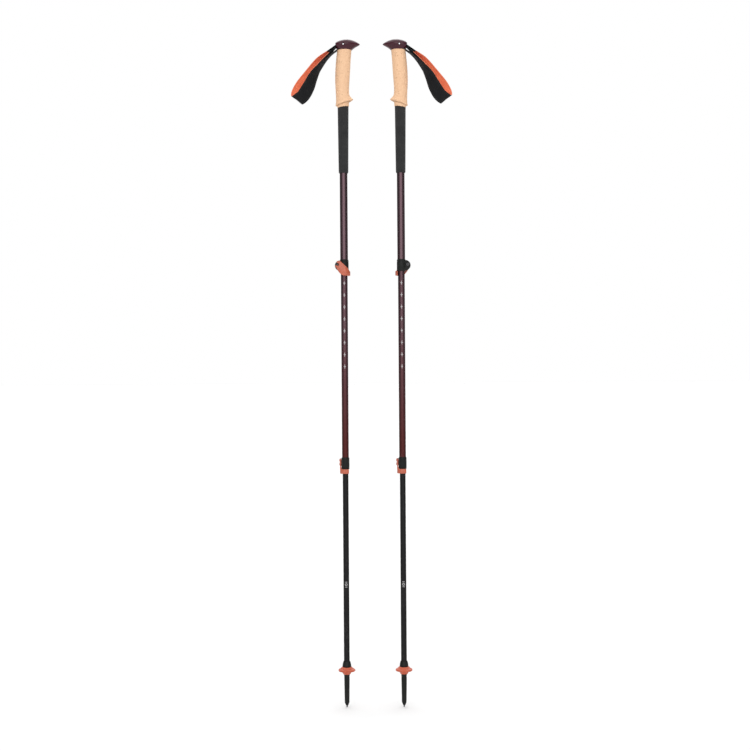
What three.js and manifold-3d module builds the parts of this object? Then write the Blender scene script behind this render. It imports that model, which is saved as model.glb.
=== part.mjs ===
// A pair of three-section trekking poles, stood on their tips side by side.
// Millimetres, +Z up, origin on the ground midway between the two poles' axes.
// The left pole's strap hangs towards -X and its head's beak points to +X; the right pole's is the mirror image.

import * as THREE from 'three';
import { mergeVertices } from 'three/addons/utils/BufferGeometryUtils.js';
import Module from 'manifold-3d';

const wasm = await Module();
wasm.setup();

// ---------------------------------------------------------------------------
// Driving dimensions
// ---------------------------------------------------------------------------

const POLE_X = 60; // each pole's axis, either side of the origin
const SIDES = 24; // flats round a turned piece
const SMALL_SIDES = 14; // flats round a pin, bolt or bore
const GAP = 0.3; // left between two pieces that touch

// Three telescoping tubes
const WALL = 0.6;
const UPPER_R = 8;
const MIDDLE_R = 7;
const LOWER_R = 6;
const UPPER_TUBE = { bottom: 918.5, top: 1372 };
const MIDDLE_TUBE = { bottom: 503.5, top: 970 };
const LOWER_TUBE = { bottom: 77, top: 555 };

// Guide bush: a plug in the inner tube's top end, with a skirt that runs in the outer tube
const BUSH_PLUG = 14;
const BUSH_SKIRT = 9;
const BUSH_PLAY = 0.25;

// Lever lock: a slit collar with an ear, a clamp bolt across the ear and a cam lever
const UPPER_LOCK_Z = 914.7; // underside of the collar
const LOWER_LOCK_Z = 499.7;
const COLLAR_WALL = 1.1;
const COLLAR_HEIGHT = 25;
const COLLAR_LIP = 3.5;
const EAR_REACH = 19.4;
const EAR_HALF = 4.2;
const SLIT = 1.2;
const BOLT = { x: -13.3, z: 14, r: 2, headR: 3.5, headLength: 2.4 };
const PLATE = { r: 4, length: 0.6 };
const CAM = { y: -9.4, r: 4, length: 14, barrelR: 2.5 };
const CAM_LEAN = 0.35; // radians that the cam's axis leans from upright, towards the pole at its top
const LEVER_THICK = 2.6;
const LEVER_WRAP = 2.3; // radians that the lever wraps past the front of the pole

// Grip: core sleeve, cork and foam
const CORE_R = 10;
const CORE = { bottom: 1262, top: 1378.5 };
const FOAM = { bottom: 1121, top: 1256.8, bottomR: 10.1, topR: 11.5, slope: 0.13 };

// Head, strap pin and strap mouth
const HEAD_STEM = { r: 7.05, bottom: 1358 };
const PIN = { x: 1.3, z: 1389.3, r: 2, half: 15.2 };
const MOUTH = { low: 1384.6, high: 1392.9, halfWidth: 11 };
const STRAP_WIDTH = 28;
const WEBBING_WIDTH = 20;

// Tip: ferrule with a bell collar, screw-on basket, carbide insert
const FERRULE = { top: 96.6, bellR: 9.2, seatTop: 85, seatR: 7.8, seatBottom: 75, neckR: 6, neckTop: 69, bottom: 4 };
const BASKET = { r: 17.75, bottom: 69.3, rim: 75, top: 84.6 };
const CARBIDE = { r: 1.2, seatR: 1.5, buried: 18 };

// ---------------------------------------------------------------------------
// Materials
// ---------------------------------------------------------------------------

function material(color, roughness, metalness) {
  return new THREE.MeshStandardMaterial({ color, roughness, metalness });
}

const ANODISED = [0x4a3238, 0.35, 0.8];
const BLACK_ANODISED = [0x1c1c1d, 0.4, 0.7];
const PLUM_PLASTIC = [0x4b1e2d, 0.2, 0];
const CORK = [0xe6bb8c, 0.8, 0];
const FOAM_RUBBER = [0x2b2b2c, 0.95, 0];
const BLACK_NYLON = [0x1e1f1f, 0.5, 0];
const ORANGE_ALLOY = [0xd0603c, 0.35, 0.3];
const ORANGE_NYLON = [0xd8603a, 0.5, 0];
const STEEL = [0xb8b8ba, 0.3, 1];
const WEBBING = [0x1b1b1c, 0.9, 0];
const CARBIDE_GREY = [0x6c6e70, 0.4, 1];

// ---------------------------------------------------------------------------
// Solid helpers
// ---------------------------------------------------------------------------

// Positions only, shared vertices merged, triangles of no area dropped.
function weld(geometry) {
  geometry.deleteAttribute('normal');
  geometry.deleteAttribute('uv');
  const welded = mergeVertices(geometry, 1e-4);
  const index = [];
  for (let i = 0; i < welded.index.count; i += 3) {
    const corners = [0, 1, 2].map((k) => welded.index.getX(i + k));
    if (new Set(corners).size === 3) index.push(...corners);
  }
  welded.setIndex(index);
  return welded;
}

function solid(geometry) {
  const mesh = new wasm.Mesh({
    numProp: 3,
    vertProperties: new Float32Array(geometry.attributes.position.array),
    triVerts: new Uint32Array(geometry.index.array),
  });
  return new wasm.Manifold(mesh);
}

function geometryOf(manifold) {
  const mesh = manifold.getMesh();
  const geometry = new THREE.BufferGeometry();
  geometry.setAttribute('position', new THREE.BufferAttribute(mesh.vertProperties, 3));
  geometry.setIndex(new THREE.BufferAttribute(mesh.triVerts, 1));
  return geometry;
}

function cut(base, ...tools) {
  return geometryOf(tools.reduce((left, tool) => left.subtract(solid(tool)), solid(base)));
}

function join(base, ...others) {
  return geometryOf(others.reduce((sum, other) => sum.add(solid(other)), solid(base)));
}

// A profile of [radius, height] points turned about Z. It starts and ends on the axis, or closes on itself.
function revolve(profile, sides = SIDES) {
  const points = profile.map(([r, z]) => new THREE.Vector2(r, z));
  const geometry = new THREE.LatheGeometry(points, sides);
  geometry.rotateX(Math.PI / 2);
  return weld(geometry);
}

function disc(r, low, high, sides = SIDES) {
  return revolve([[0, low], [r, low], [r, high], [0, high]], sides);
}

function pipe(outer, inner, low, high, sides = SIDES) {
  return revolve([[outer, low], [outer, high], [inner, high], [inner, low], [outer, low]], sides);
}

function block(lowX, highX, lowY, highY, lowZ, highZ) {
  const box = new THREE.BoxGeometry(highX - lowX, highY - lowY, highZ - lowZ);
  box.translate((lowX + highX) / 2, (lowY + highY) / 2, (lowZ + highZ) / 2);
  return weld(box);
}

// Rings of equal point count, joined side by side and closed by a fan at each end.
function loft(rings) {
  const count = rings[0].length;
  const last = rings.length - 1;
  const positions = rings.flat().flatMap((p) => [p.x, p.y, p.z]);
  const index = [];
  for (let i = 0; i < last; i += 1) {
    for (let j = 0; j < count; j += 1) {
      const a = i * count + j;
      const b = i * count + ((j + 1) % count);
      index.push(a, b, b + count, a, b + count, a + count);
    }
  }
  [rings[0], rings[last]].forEach((ring, end) => {
    const centre = ring.reduce((sum, p) => sum.add(p), new THREE.Vector3()).divideScalar(count);
    const hub = positions.length / 3;
    const start = end * last * count;
    positions.push(centre.x, centre.y, centre.z);
    for (let j = 0; j < count; j += 1) {
      const a = start + j;
      const b = start + ((j + 1) % count);
      index.push(...(end ? [hub, a, b] : [hub, b, a]));
    }
  });
  const geometry = new THREE.BufferGeometry();
  geometry.setAttribute('position', new THREE.Float32BufferAttribute(positions, 3));
  geometry.setIndex(index);
  return geometry;
}

// A flat bar of changing size: each station has a centre and two half sides, across x through = forwards.
function bar(stations) {
  return loft(
    stations.map(({ centre, across, through }) =>
      [[1, 1], [-1, 1], [-1, -1], [1, -1]].map(([a, b]) =>
        centre.clone().addScaledVector(across, a).addScaledVector(through, b)),
    ),
  );
}

// An egg-shaped ring in a plane that climbs towards +X: rear and front are its ends along X.
// point narrows its front; blunt, from 1 towards 0, squares its rear.
function egg({ z, rear, front, half, climb = 0, point = 0, blunt = 1 }, count = 20) {
  const ring = [];
  const middle = (rear + front) / 2;
  for (let i = 0; i < count; i += 1) {
    const turn = (2 * Math.PI * i) / count;
    const along = Math.cos(turn);
    const side = Math.sign(Math.sin(turn)) * Math.abs(Math.sin(turn)) ** (along < 0 ? blunt : 1);
    const narrowing = 1 - point * Math.max(0, along);
    const x = middle + ((front - rear) / 2) * along;
    ring.push(new THREE.Vector3(x, half * side * narrowing, z + climb * x));
  }
  return ring;
}

// ---------------------------------------------------------------------------
// Lever lock, with the pole's axis as Z, the collar's underside at z = 0 and the ear towards -X
// ---------------------------------------------------------------------------

const CAM_CENTRE = new THREE.Vector3(BOLT.x, CAM.y, BOLT.z);

// Puts a piece made along Z onto the cam's axis. What was +X then points along the lever.
function ontoCamAxis(geometry) {
  geometry.rotateY(CAM_LEAN);
  geometry.translate(CAM_CENTRE.x, CAM_CENTRE.y, CAM_CENTRE.z);
  return geometry;
}

// Puts a piece made along Z onto the clamp bolt's axis, with its top towards the front.
function ontoBoltAxis(geometry) {
  geometry.rotateX(Math.PI / 2);
  geometry.translate(BOLT.x, 0, BOLT.z);
  return geometry;
}

function lockHousing(outerR, innerR) {
  const bodyR = outerR + GAP + COLLAR_WALL;
  const shoulder = 2;
  const collar = revolve([
    [0, 0],
    [bodyR - 0.6, 0],
    [bodyR, 0.8],
    [bodyR, COLLAR_HEIGHT - shoulder],
    [bodyR - 0.9, COLLAR_HEIGHT],
    [0, COLLAR_HEIGHT],
  ]);
  const outline = new THREE.Shape();
  outline.moveTo(0, COLLAR_HEIGHT - shoulder);
  outline.lineTo(-12, COLLAR_HEIGHT - shoulder);
  outline.quadraticCurveTo(-EAR_REACH, COLLAR_HEIGHT - shoulder, -EAR_REACH, BOLT.z);
  outline.quadraticCurveTo(-EAR_REACH, 3, -12.5, 0.5);
  outline.lineTo(0, 0.5);
  const ear = new THREE.ExtrudeGeometry(outline, {
    depth: 2 * EAR_HALF,
    bevelEnabled: false,
    curveSegments: 5,
  });
  ear.translate(0, 0, -EAR_HALF);
  ear.rotateX(Math.PI / 2);
  const tubeBore = disc(outerR + GAP, COLLAR_LIP, COLLAR_HEIGHT + 1);
  const lipBore = disc(innerR + GAP, -1, COLLAR_LIP + 1);
  const slit = block(-EAR_REACH - 1, -innerR + 1, -SLIT / 2, SLIT / 2, -1, COLLAR_HEIGHT + 1);
  const boltHole = ontoBoltAxis(disc(BOLT.r + GAP, -EAR_HALF - 1, EAR_HALF + 1, SMALL_SIDES));
  const headPocket = ontoBoltAxis(disc(BOLT.headR + GAP, -EAR_HALF - 1, -EAR_HALF + 1.6, SMALL_SIDES));
  return cut(join(collar, weld(ear)), tubeBore, lipBore, slit, boltHole, headPocket);
}

// The clamp bolt's head sits in its pocket at the back; its shank crosses the ear, the plate and the barrel nut.
function lockBolt() {
  const headTop = -EAR_HALF + 1.6 - GAP;
  const headLow = headTop - BOLT.headLength;
  const end = -CAM.y + 1.6;
  const bolt = revolve(
    [[0, headLow], [BOLT.headR, headLow], [BOLT.headR, headTop], [BOLT.r, headTop], [BOLT.r, end], [0, end]],
    SMALL_SIDES,
  );
  const hexKey = disc(1.4, headLow - 1, headLow + 1.4, 6);
  return ontoBoltAxis(cut(bolt, hexKey));
}

function lockPlate() {
  const low = EAR_HALF + GAP;
  return ontoBoltAxis(pipe(PLATE.r, BOLT.r + GAP, low, low + PLATE.length, SMALL_SIDES));
}

function lockBarrel() {
  const barrel = ontoCamAxis(disc(CAM.barrelR, -CAM.length / 2 + 0.2, CAM.length / 2 - 0.2, SMALL_SIDES));
  return cut(barrel, ontoBoltAxis(disc(BOLT.r + 0.2, 0, EAR_REACH, SMALL_SIDES)));
}

// The lever's line seen from above: straight from the ear, then round the pole.
function leverLine(distance, radius) {
  const bend = Math.max(0, distance) / radius;
  return {
    centre: new THREE.Vector3(
      distance < 0 ? distance : radius * Math.sin(bend),
      -radius * Math.cos(bend),
      0,
    ),
    outward: new THREE.Vector3(Math.sin(bend), -Math.cos(bend), 0),
  };
}

function lockLever(outerR) {
  const radius = outerR + GAP + COLLAR_WALL + 0.7 + LEVER_THICK / 2;
  const start = BOLT.x - 5;
  const end = radius * LEVER_WRAP;
  const steps = 16;
  const tip = { low: -9.3, high: 0.2 };
  const stations = [];
  for (let i = 0; i <= steps; i += 1) {
    const distance = start + ((end - start) * i) / steps;
    const { centre, outward } = leverLine(distance, radius);
    const fall = Math.min(1, (distance - start) / 19);
    const low = tip.low + 20 * (1 - fall) ** 2;
    const high = Math.max(tip.high, Math.min(24, 24 - 0.98 * (distance + 10.5)));
    centre.z = (low + high) / 2;
    const across = new THREE.Vector3(0, 0, (high - low) / 2);
    stations.push({ centre, across, through: outward.multiplyScalar(LEVER_THICK / 2) });
  }
  const cam = ontoCamAxis(disc(CAM.r, -CAM.length / 2, CAM.length / 2, SMALL_SIDES));
  const barrelBore = ontoCamAxis(disc(CAM.barrelR + 0.25, -CAM.length, CAM.length, SMALL_SIDES));
  const notch = ontoCamAxis(block(-14, 2.6, -9, 9, -2.7, 2.7));
  const behindCam = ontoCamAxis(block(-20, 0, -9, 9, -20, 20));
  return cut(join(cut(bar(stations), behindCam), cam), barrelBore, notch);
}

// ---------------------------------------------------------------------------
// Tubes and bushes
// ---------------------------------------------------------------------------

function tube(radius, { bottom, top }) {
  return pipe(radius, radius - WALL, bottom, top);
}

function guideBush(innerTubeR, outerTubeR, tubeTop) {
  const plugR = innerTubeR - WALL - BUSH_PLAY;
  const skirtR = outerTubeR - WALL - BUSH_PLAY;
  const skirtLow = tubeTop + GAP;
  return revolve([
    [0, tubeTop - BUSH_PLUG],
    [plugR, tubeTop - BUSH_PLUG],
    [plugR, skirtLow],
    [skirtR, skirtLow],
    [skirtR, skirtLow + BUSH_SKIRT],
    [0, skirtLow + BUSH_SKIRT],
  ]);
}

// ---------------------------------------------------------------------------
// Grip, for a head whose beak points to +X
// ---------------------------------------------------------------------------

const HEAD_SECTIONS = [
  { z: 1380, rear: -10.5, front: 19.8, half: 12.4, blunt: 0.6 },
  { z: 1385, rear: -15.4, front: 26.2, half: 15, point: 0.1, blunt: 0.5 },
  { z: 1389.5, rear: -16.4, front: 35.5, half: 16.6, point: 0.35, blunt: 0.5 },
  { z: 1391.5, rear: -16.3, front: 36.2, half: 16.6, point: 0.38, blunt: 0.5 },
  { z: 1395.5, rear: -13.5, front: 29.5, half: 15, point: 0.3, blunt: 0.7 },
  { z: 1399.5, rear: -6.5, front: 21.5, half: 10.5, point: 0.1 },
  { z: 1401.6, rear: 2, front: 13, half: 4.5 },
];

const CORK_SECTIONS = [
  { z: 1259.6, rear: -10.4, front: 12.4, half: 11.6, climb: 0.13 },
  { z: 1264.5, rear: -13.6, front: 13, half: 12.6, climb: 0.2 },
  { z: 1267.5, rear: -15.4, front: 15.5, half: 14, climb: 0.33 },
  { z: 1269.5, rear: -15.3, front: 21, half: 14.8, climb: 0.33 },
  { z: 1273, rear: -14.9, front: 18, half: 14.4, climb: 0.33 },
  { z: 1281.5, rear: -14.7, front: 13.2, half: 13.4, climb: 0.2 },
  { z: 1292, rear: -15.4, front: 12.6, half: 13.2 },
  { z: 1318, rear: -16.6, front: 14.2, half: 14 },
  { z: 1340, rear: -15.8, front: 15.7, half: 13.8 },
  { z: 1358, rear: -14.3, front: 16.6, half: 13.2 },
  { z: 1379.4, rear: -12, front: 18.6, half: 12.6 },
];

function head() {
  const cap = loft(HEAD_SECTIONS.map((section) => egg(section)));
  const stem = disc(HEAD_STEM.r, HEAD_STEM.bottom, 1384);
  const mouth = block(-20, 8, -MOUTH.halfWidth, MOUTH.halfWidth, MOUTH.low, MOUTH.high);
  const pinHole = pinShape(PIN.r + GAP, 20);
  const tailChannel = block(-20, -1, -MOUTH.halfWidth, MOUTH.halfWidth, 1379, 1381.6);
  return cut(join(cap, stem), mouth, pinHole, tailChannel);
}

function pinShape(radius, half) {
  const pin = disc(radius, -half, half, SMALL_SIDES);
  pin.rotateX(Math.PI / 2);
  pin.translate(PIN.x, 0, PIN.z);
  return pin;
}

// The webbing's end folded round the strap pin, with its two layers running back to the mouth.
function strapAnchor() {
  const wrap = pinShape(PIN.r + GAP + 0.9, WEBBING_WIDTH / 2);
  const layers = block(-9.5, PIN.x, -WEBBING_WIDTH / 2, WEBBING_WIDTH / 2, PIN.z - 1.2, PIN.z + 1.2);
  return cut(join(wrap, layers), pinShape(PIN.r + GAP, 20));
}

function strapWedge() {
  const width = WEBBING_WIDTH / 2 - 1;
  const wedge = new THREE.Shape();
  wedge.moveTo(-9, MOUTH.low + GAP);
  wedge.lineTo(-2.5, MOUTH.low + GAP);
  wedge.lineTo(-2.5, PIN.z - 1.6 - GAP);
  wedge.lineTo(-9, PIN.z - 2.6 - GAP);
  const geometry = new THREE.ExtrudeGeometry(wedge, { depth: 2 * width, bevelEnabled: false });
  geometry.translate(0, 0, -width);
  geometry.rotateX(Math.PI / 2);
  return weld(geometry);
}

function corkGrip() {
  const bore = disc(CORE_R + GAP, 1240, 1400);
  return cut(loft(CORK_SECTIONS.map((section) => egg(section))), bore);
}

function gripCore() {
  return pipe(CORE_R, UPPER_R + GAP, CORE.bottom, CORE.top);
}

function foamSleeve() {
  const radiusAt = (z) =>
    FOAM.bottomR + ((FOAM.topR - FOAM.bottomR) * (z - FOAM.bottom)) / (FOAM.top - FOAM.bottom);
  const profile = [
    [FOAM.bottomR - 1.2, FOAM.bottom],
    [FOAM.bottomR, FOAM.bottom + 2.5],
    [radiusAt(FOAM.top), FOAM.top + 4],
    [UPPER_R + GAP, FOAM.top + 4],
    [UPPER_R + GAP, FOAM.bottom],
    [FOAM.bottomR - 1.2, FOAM.bottom],
  ];
  const above = block(-20, 20, -20, 20, 0, 20);
  above.rotateY(-Math.atan(FOAM.slope));
  above.translate(0, 0, FOAM.top + 2.4);
  return cut(revolve(profile), above);
}

// ---------------------------------------------------------------------------
// Wrist strap: a padded band from the mouth, out along the near side, round and back
// ---------------------------------------------------------------------------

// Centre of the band, and how far its width has turned from straight across (0) towards lying flat.
const STRAP_ROUTE = [
  { at: [-15.2, 0, 1386.7], turn: 0 },
  { at: [-25, -1.5, 1374.5], turn: 3 },
  { at: [-39.5, -5, 1356], turn: 11 },
  { at: [-51.5, -10, 1339], turn: 20 },
  { at: [-62, -14.5, 1321], turn: 42 },
  { at: [-71.5, -17, 1300], turn: 63 },
  { at: [-83, -13, 1282], turn: 80 },
  { at: [-95.5, 0, 1276.5], turn: 87 },
  { at: [-96.5, 11, 1288], turn: 82 },
  { at: [-89, 15, 1305], turn: 75 },
  { at: [-70, 13, 1330], turn: 58 },
  { at: [-47, 7, 1359], turn: 35 },
  { at: [-28.2, 2, 1377.2], turn: 9 },
  { at: [-15.2, 0, 1389.8], turn: 0 },
];
const STRAP_LAY = new THREE.Vector3(0.8, 0, -0.6); // the way the band's width turns to
const STRAP_STEPS = 40;

function strapBand() {
  const line = new THREE.CatmullRomCurve3(
    STRAP_ROUTE.map(({ at }) => new THREE.Vector3(...at)),
    false,
    'centripetal',
  );
  const stations = [];
  for (let i = 0; i <= STRAP_STEPS; i += 1) {
    const share = i / STRAP_STEPS;
    const place = share * (STRAP_ROUTE.length - 1);
    const before = Math.min(Math.floor(place), STRAP_ROUTE.length - 2);
    const degrees = THREE.MathUtils.lerp(
      STRAP_ROUTE[before].turn,
      STRAP_ROUTE[before + 1].turn,
      place - before,
    );
    const turn = THREE.MathUtils.degToRad(degrees);
    const ahead = line.getTangent(share);
    const width = new THREE.Vector3(0, Math.cos(turn), 0).addScaledVector(STRAP_LAY, Math.sin(turn));
    width.addScaledVector(ahead, -width.dot(ahead)).normalize();
    const outward = ahead.clone().cross(width);
    const fromEnd = Math.min(place, STRAP_ROUTE.length - 1 - place);
    const fullness = THREE.MathUtils.smoothstep(fromEnd, 0.3, 2.2);
    const halfWidth = THREE.MathUtils.lerp(WEBBING_WIDTH, STRAP_WIDTH, fullness) / 2;
    const halfThick = THREE.MathUtils.lerp(0.9, 2, fullness);
    stations.push({
      centre: line.getPoint(share),
      across: width.multiplyScalar(halfWidth),
      through: outward.multiplyScalar(halfThick),
    });
  }
  return bar(stations);
}

// The thin adjusting tail: from under the head to the near strand's underside.
function strapTail() {
  const route = [[-14.3, 1378.5, 0], [-19, 1374.9, 0], [-23.6, 1370.4, 3], [-28.5, 1365.3, 6]];
  const stations = route.map(([x, z, degrees], i) => {
    const next = route[Math.min(i + 1, route.length - 1)];
    const previous = route[Math.max(i - 1, 0)];
    const ahead = new THREE.Vector3(next[0] - previous[0], 0, next[1] - previous[1]).normalize();
    const turn = THREE.MathUtils.degToRad(degrees);
    const width = new THREE.Vector3(0, Math.cos(turn), 0).addScaledVector(STRAP_LAY, Math.sin(turn));
    return {
      centre: new THREE.Vector3(x, 0, z),
      across: width.multiplyScalar(WEBBING_WIDTH / 2),
      through: ahead.cross(new THREE.Vector3(0, 1, 0)).multiplyScalar(0.75),
    };
  });
  return bar(stations);
}

// ---------------------------------------------------------------------------
// Tip
// ---------------------------------------------------------------------------

function ferrule() {
  const body = revolve([
    [0, FERRULE.bottom],
    [2.4, FERRULE.bottom],
    [4.8, FERRULE.bottom + 5.5],
    [FERRULE.neckR, FERRULE.neckTop],
    [FERRULE.seatR, FERRULE.seatBottom],
    [FERRULE.seatR, FERRULE.seatTop],
    [FERRULE.bellR, FERRULE.seatTop + 0.6],
    [FERRULE.bellR, FERRULE.seatTop + 3],
    [LOWER_R + 1.1, FERRULE.top],
    [0, FERRULE.top],
  ]);
  const socket = disc(LOWER_R + GAP, LOWER_TUBE.bottom - GAP, FERRULE.top + 1);
  const insertHole = disc(CARBIDE.seatR + GAP, 0, CARBIDE.buried + GAP, SMALL_SIDES);
  return cut(body, socket, insertHole);
}

function basket() {
  const bore = FERRULE.seatR + GAP;
  const neck = FERRULE.neckR + 2 * GAP;
  return revolve([
    [neck, BASKET.bottom],
    [neck + 1.2, BASKET.bottom],
    [9.6, BASKET.bottom + 3.4],
    [12, BASKET.rim + 0.8],
    [BASKET.r - 2.2, BASKET.rim],
    [BASKET.r, BASKET.rim + 2.8],
    [BASKET.r, BASKET.rim + 5.2],
    [BASKET.r - 1.6, BASKET.rim + 6.6],
    [10.4, BASKET.top],
    [bore, BASKET.top],
    [bore, FERRULE.seatBottom + 1],
    [neck, BASKET.bottom],
  ]);
}

function carbideTip() {
  return revolve(
    [[0, 0], [CARBIDE.r, 0], [CARBIDE.seatR, 1.2], [CARBIDE.seatR, CARBIDE.buried], [0, CARBIDE.buried]],
    SMALL_SIDES,
  );
}

// ---------------------------------------------------------------------------
// Assembly
// ---------------------------------------------------------------------------

function addMesh(group, name, geometry, look) {
  geometry.computeVertexNormals();
  const mesh = new THREE.Mesh(geometry, material(...look));
  mesh.name = name;
  group.add(mesh);
}

function lock(prefix, outerR, innerR, height, quarterTurns) {
  const group = new THREE.Group();
  group.position.z = height;
  group.rotation.z = (quarterTurns * Math.PI) / 2;
  addMesh(group, `${prefix}_lock_housing`, lockHousing(outerR, innerR), BLACK_NYLON);
  addMesh(group, `${prefix}_lock_bolt`, lockBolt(), STEEL);
  addMesh(group, `${prefix}_lock_plate`, lockPlate(), STEEL);
  addMesh(group, `${prefix}_lock_barrel`, lockBarrel(), STEEL);
  addMesh(group, `${prefix}_lock_lever`, lockLever(outerR), ORANGE_ALLOY);
  return group;
}

function grip(side) {
  const group = new THREE.Group();
  addMesh(group, `${side}_head`, head(), PLUM_PLASTIC);
  addMesh(group, `${side}_strap_pin`, pinShape(PIN.r, PIN.half), STEEL);
  addMesh(group, `${side}_strap_anchor`, strapAnchor(), WEBBING);
  addMesh(group, `${side}_strap_wedge`, strapWedge(), BLACK_NYLON);
  addMesh(group, `${side}_cork_grip`, corkGrip(), CORK);
  addMesh(group, `${side}_grip_core`, gripCore(), BLACK_NYLON);
  addMesh(group, `${side}_foam_sleeve`, foamSleeve(), FOAM_RUBBER);
  addMesh(group, `${side}_wrist_strap`, strapBand(), WEBBING);
  addMesh(group, `${side}_strap_tail`, strapTail(), WEBBING);
  return group;
}

function pole(side, x, mirrored, upperLockTurns, lowerLockTurns) {
  const group = new THREE.Group();
  group.position.x = x;
  const top = grip(side);
  top.scale.x = mirrored ? -1 : 1;
  group.add(top);
  addMesh(group, `${side}_upper_tube`, tube(UPPER_R, UPPER_TUBE), ANODISED);
  addMesh(group, `${side}_middle_bush`, guideBush(MIDDLE_R, UPPER_R, MIDDLE_TUBE.top), BLACK_NYLON);
  addMesh(group, `${side}_middle_tube`, tube(MIDDLE_R, MIDDLE_TUBE), ANODISED);
  addMesh(group, `${side}_lower_bush`, guideBush(LOWER_R, MIDDLE_R, LOWER_TUBE.top), BLACK_NYLON);
  addMesh(group, `${side}_lower_tube`, tube(LOWER_R, LOWER_TUBE), BLACK_ANODISED);
  group.add(lock(`${side}_upper`, UPPER_R, MIDDLE_R, UPPER_LOCK_Z, upperLockTurns));
  group.add(lock(`${side}_lower`, MIDDLE_R, LOWER_R, LOWER_LOCK_Z, lowerLockTurns));
  addMesh(group, `${side}_ferrule`, ferrule(), BLACK_NYLON);
  addMesh(group, `${side}_basket`, basket(), ORANGE_NYLON);
  addMesh(group, `${side}_carbide_tip`, carbideTip(), CARBIDE_GREY);
  return group;
}

const poles = new THREE.Group();
poles.add(pole('left', -POLE_X, false, 0, -1));
poles.add(pole('right', POLE_X, true, 2, -1));

export default poles;
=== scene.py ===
# %% [markdown]
# # A pair of trekking poles
# Two telescoping poles stand on their tips, side by side. Each has three tubes that slide into each
# other, two lever locks, a grip of cork and foam under a moulded head, a padded wrist strap, a round
# basket and a hard tip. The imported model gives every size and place; this lesson gives the poles
# their finished shapes and surfaces.

import math

import bpy
from mathutils import Matrix, Vector, noise


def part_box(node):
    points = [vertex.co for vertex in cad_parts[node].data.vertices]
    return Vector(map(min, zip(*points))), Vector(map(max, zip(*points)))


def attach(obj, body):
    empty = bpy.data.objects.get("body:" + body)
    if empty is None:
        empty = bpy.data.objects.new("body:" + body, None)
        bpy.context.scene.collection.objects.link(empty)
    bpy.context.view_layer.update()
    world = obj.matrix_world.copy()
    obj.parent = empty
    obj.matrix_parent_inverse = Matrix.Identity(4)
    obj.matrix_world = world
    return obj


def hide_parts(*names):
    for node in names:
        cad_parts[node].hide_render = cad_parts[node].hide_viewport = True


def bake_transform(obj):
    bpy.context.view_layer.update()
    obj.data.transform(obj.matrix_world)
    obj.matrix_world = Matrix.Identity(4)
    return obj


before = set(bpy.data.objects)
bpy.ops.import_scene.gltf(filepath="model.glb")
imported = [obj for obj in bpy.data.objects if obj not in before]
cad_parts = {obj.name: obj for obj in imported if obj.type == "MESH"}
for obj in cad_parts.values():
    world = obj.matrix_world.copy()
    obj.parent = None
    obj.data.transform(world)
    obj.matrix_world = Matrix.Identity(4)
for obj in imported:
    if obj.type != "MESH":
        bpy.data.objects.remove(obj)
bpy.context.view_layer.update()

# %% [markdown]
# ## Which pole is modelled
# The poles are the same but for the way that some pieces face. The left pole's pieces are modelled,
# and each gets a copy with a mesh of its own for the right pole. A grip is mirrored, an upper lock is
# given half a turn, and everything else is only moved across.

# %% The left pole's axis and the three ways across
MM = 0.001
SIDES = ("left", "right")


def middle_x(node):
    low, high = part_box(node)
    return (low.x + high.x) / 2


LEFT, RIGHT = (middle_x(f"{side}_upper_tube") for side in SIDES)
MIRRORED = Matrix.Diagonal((-1, 1, 1, 1))
HALF_TURN = Matrix.Rotation(math.pi, 4, "Z")
MOVED = Matrix.Translation((RIGHT - LEFT, 0, 0))
print("pole axes at x =", round(LEFT, 4), round(RIGHT, 4))


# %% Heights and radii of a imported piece, in millimetres
def heights(node):
    return [corner.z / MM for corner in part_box(node)]


def radius_of(node):
    low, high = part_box(node)
    return (high.x - low.x) / 2 / MM


UPPER_R, MIDDLE_R, LOWER_R = (radius_of(f"left_{n}_tube") for n in ("upper", "middle", "lower"))
print("tube radii:", [round(r, 2) for r in (UPPER_R, MIDDLE_R, LOWER_R)])

# %% [markdown]
# ## Working by hand in edit mode
# Operators act on whatever is selected, so each piece starts with nothing selected. The helpers here
# are the moves that come back all the time: start a piece, go in and out of edit mode, finish a
# modifier, carve one shape with another, and smooth the shading up to a crease.


# %% Starting, shaping and finishing a piece
def start(name, add, **settings):
    bpy.ops.object.select_all(action="DESELECT")
    add(**settings)
    piece = bpy.context.object
    piece.name = name
    bpy.ops.object.transform_apply(location=True, rotation=True, scale=True)
    return piece


def only(piece):
    bpy.ops.object.select_all(action="DESELECT")
    piece.select_set(True)
    bpy.context.view_layer.objects.active = piece


def edit(piece, select="SELECT"):
    only(piece)
    bpy.ops.object.mode_set(mode="EDIT")
    bpy.ops.mesh.select_all(action=select)


def done():
    bpy.ops.mesh.select_all(action="SELECT")
    bpy.ops.mesh.normals_make_consistent(inside=False)
    bpy.ops.object.mode_set(mode="OBJECT")


def modify(piece, kind, **settings):
    only(piece)
    modifier = piece.modifiers.new(kind.title(), kind)
    for key, value in settings.items():
        setattr(modifier, key, value)
    bpy.ops.object.modifier_apply(modifier=modifier.name)


def carve(piece, tool, operation="DIFFERENCE"):
    modify(piece, "BOOLEAN", object=tool, operation=operation, solver="EXACT")
    bpy.data.objects.remove(tool)


def round_edges(piece, width, segments, sharper_than):
    modify(
        piece,
        "BEVEL",
        width=width * MM,
        segments=segments,
        limit_method="ANGLE",
        angle_limit=math.radians(sharper_than),
    )


def shade(piece, degrees=35):
    only(piece)
    bpy.ops.object.shade_smooth_by_angle(angle=math.radians(degrees))
    print(f"{piece.name}: {sum(len(face.vertices) - 2 for face in piece.data.polygons)} triangles")


# %% [markdown]
# ## Turned shapes
# Tubes, collars, the ferrule and the basket are round about the pole's axis, as if made on a lathe. A
# circle is extruded ring by ring and each ring is resized to the profile's next radius. A hollow
# piece starts without a face, runs up the outside and down the inside, and is bridged at the end.


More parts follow.
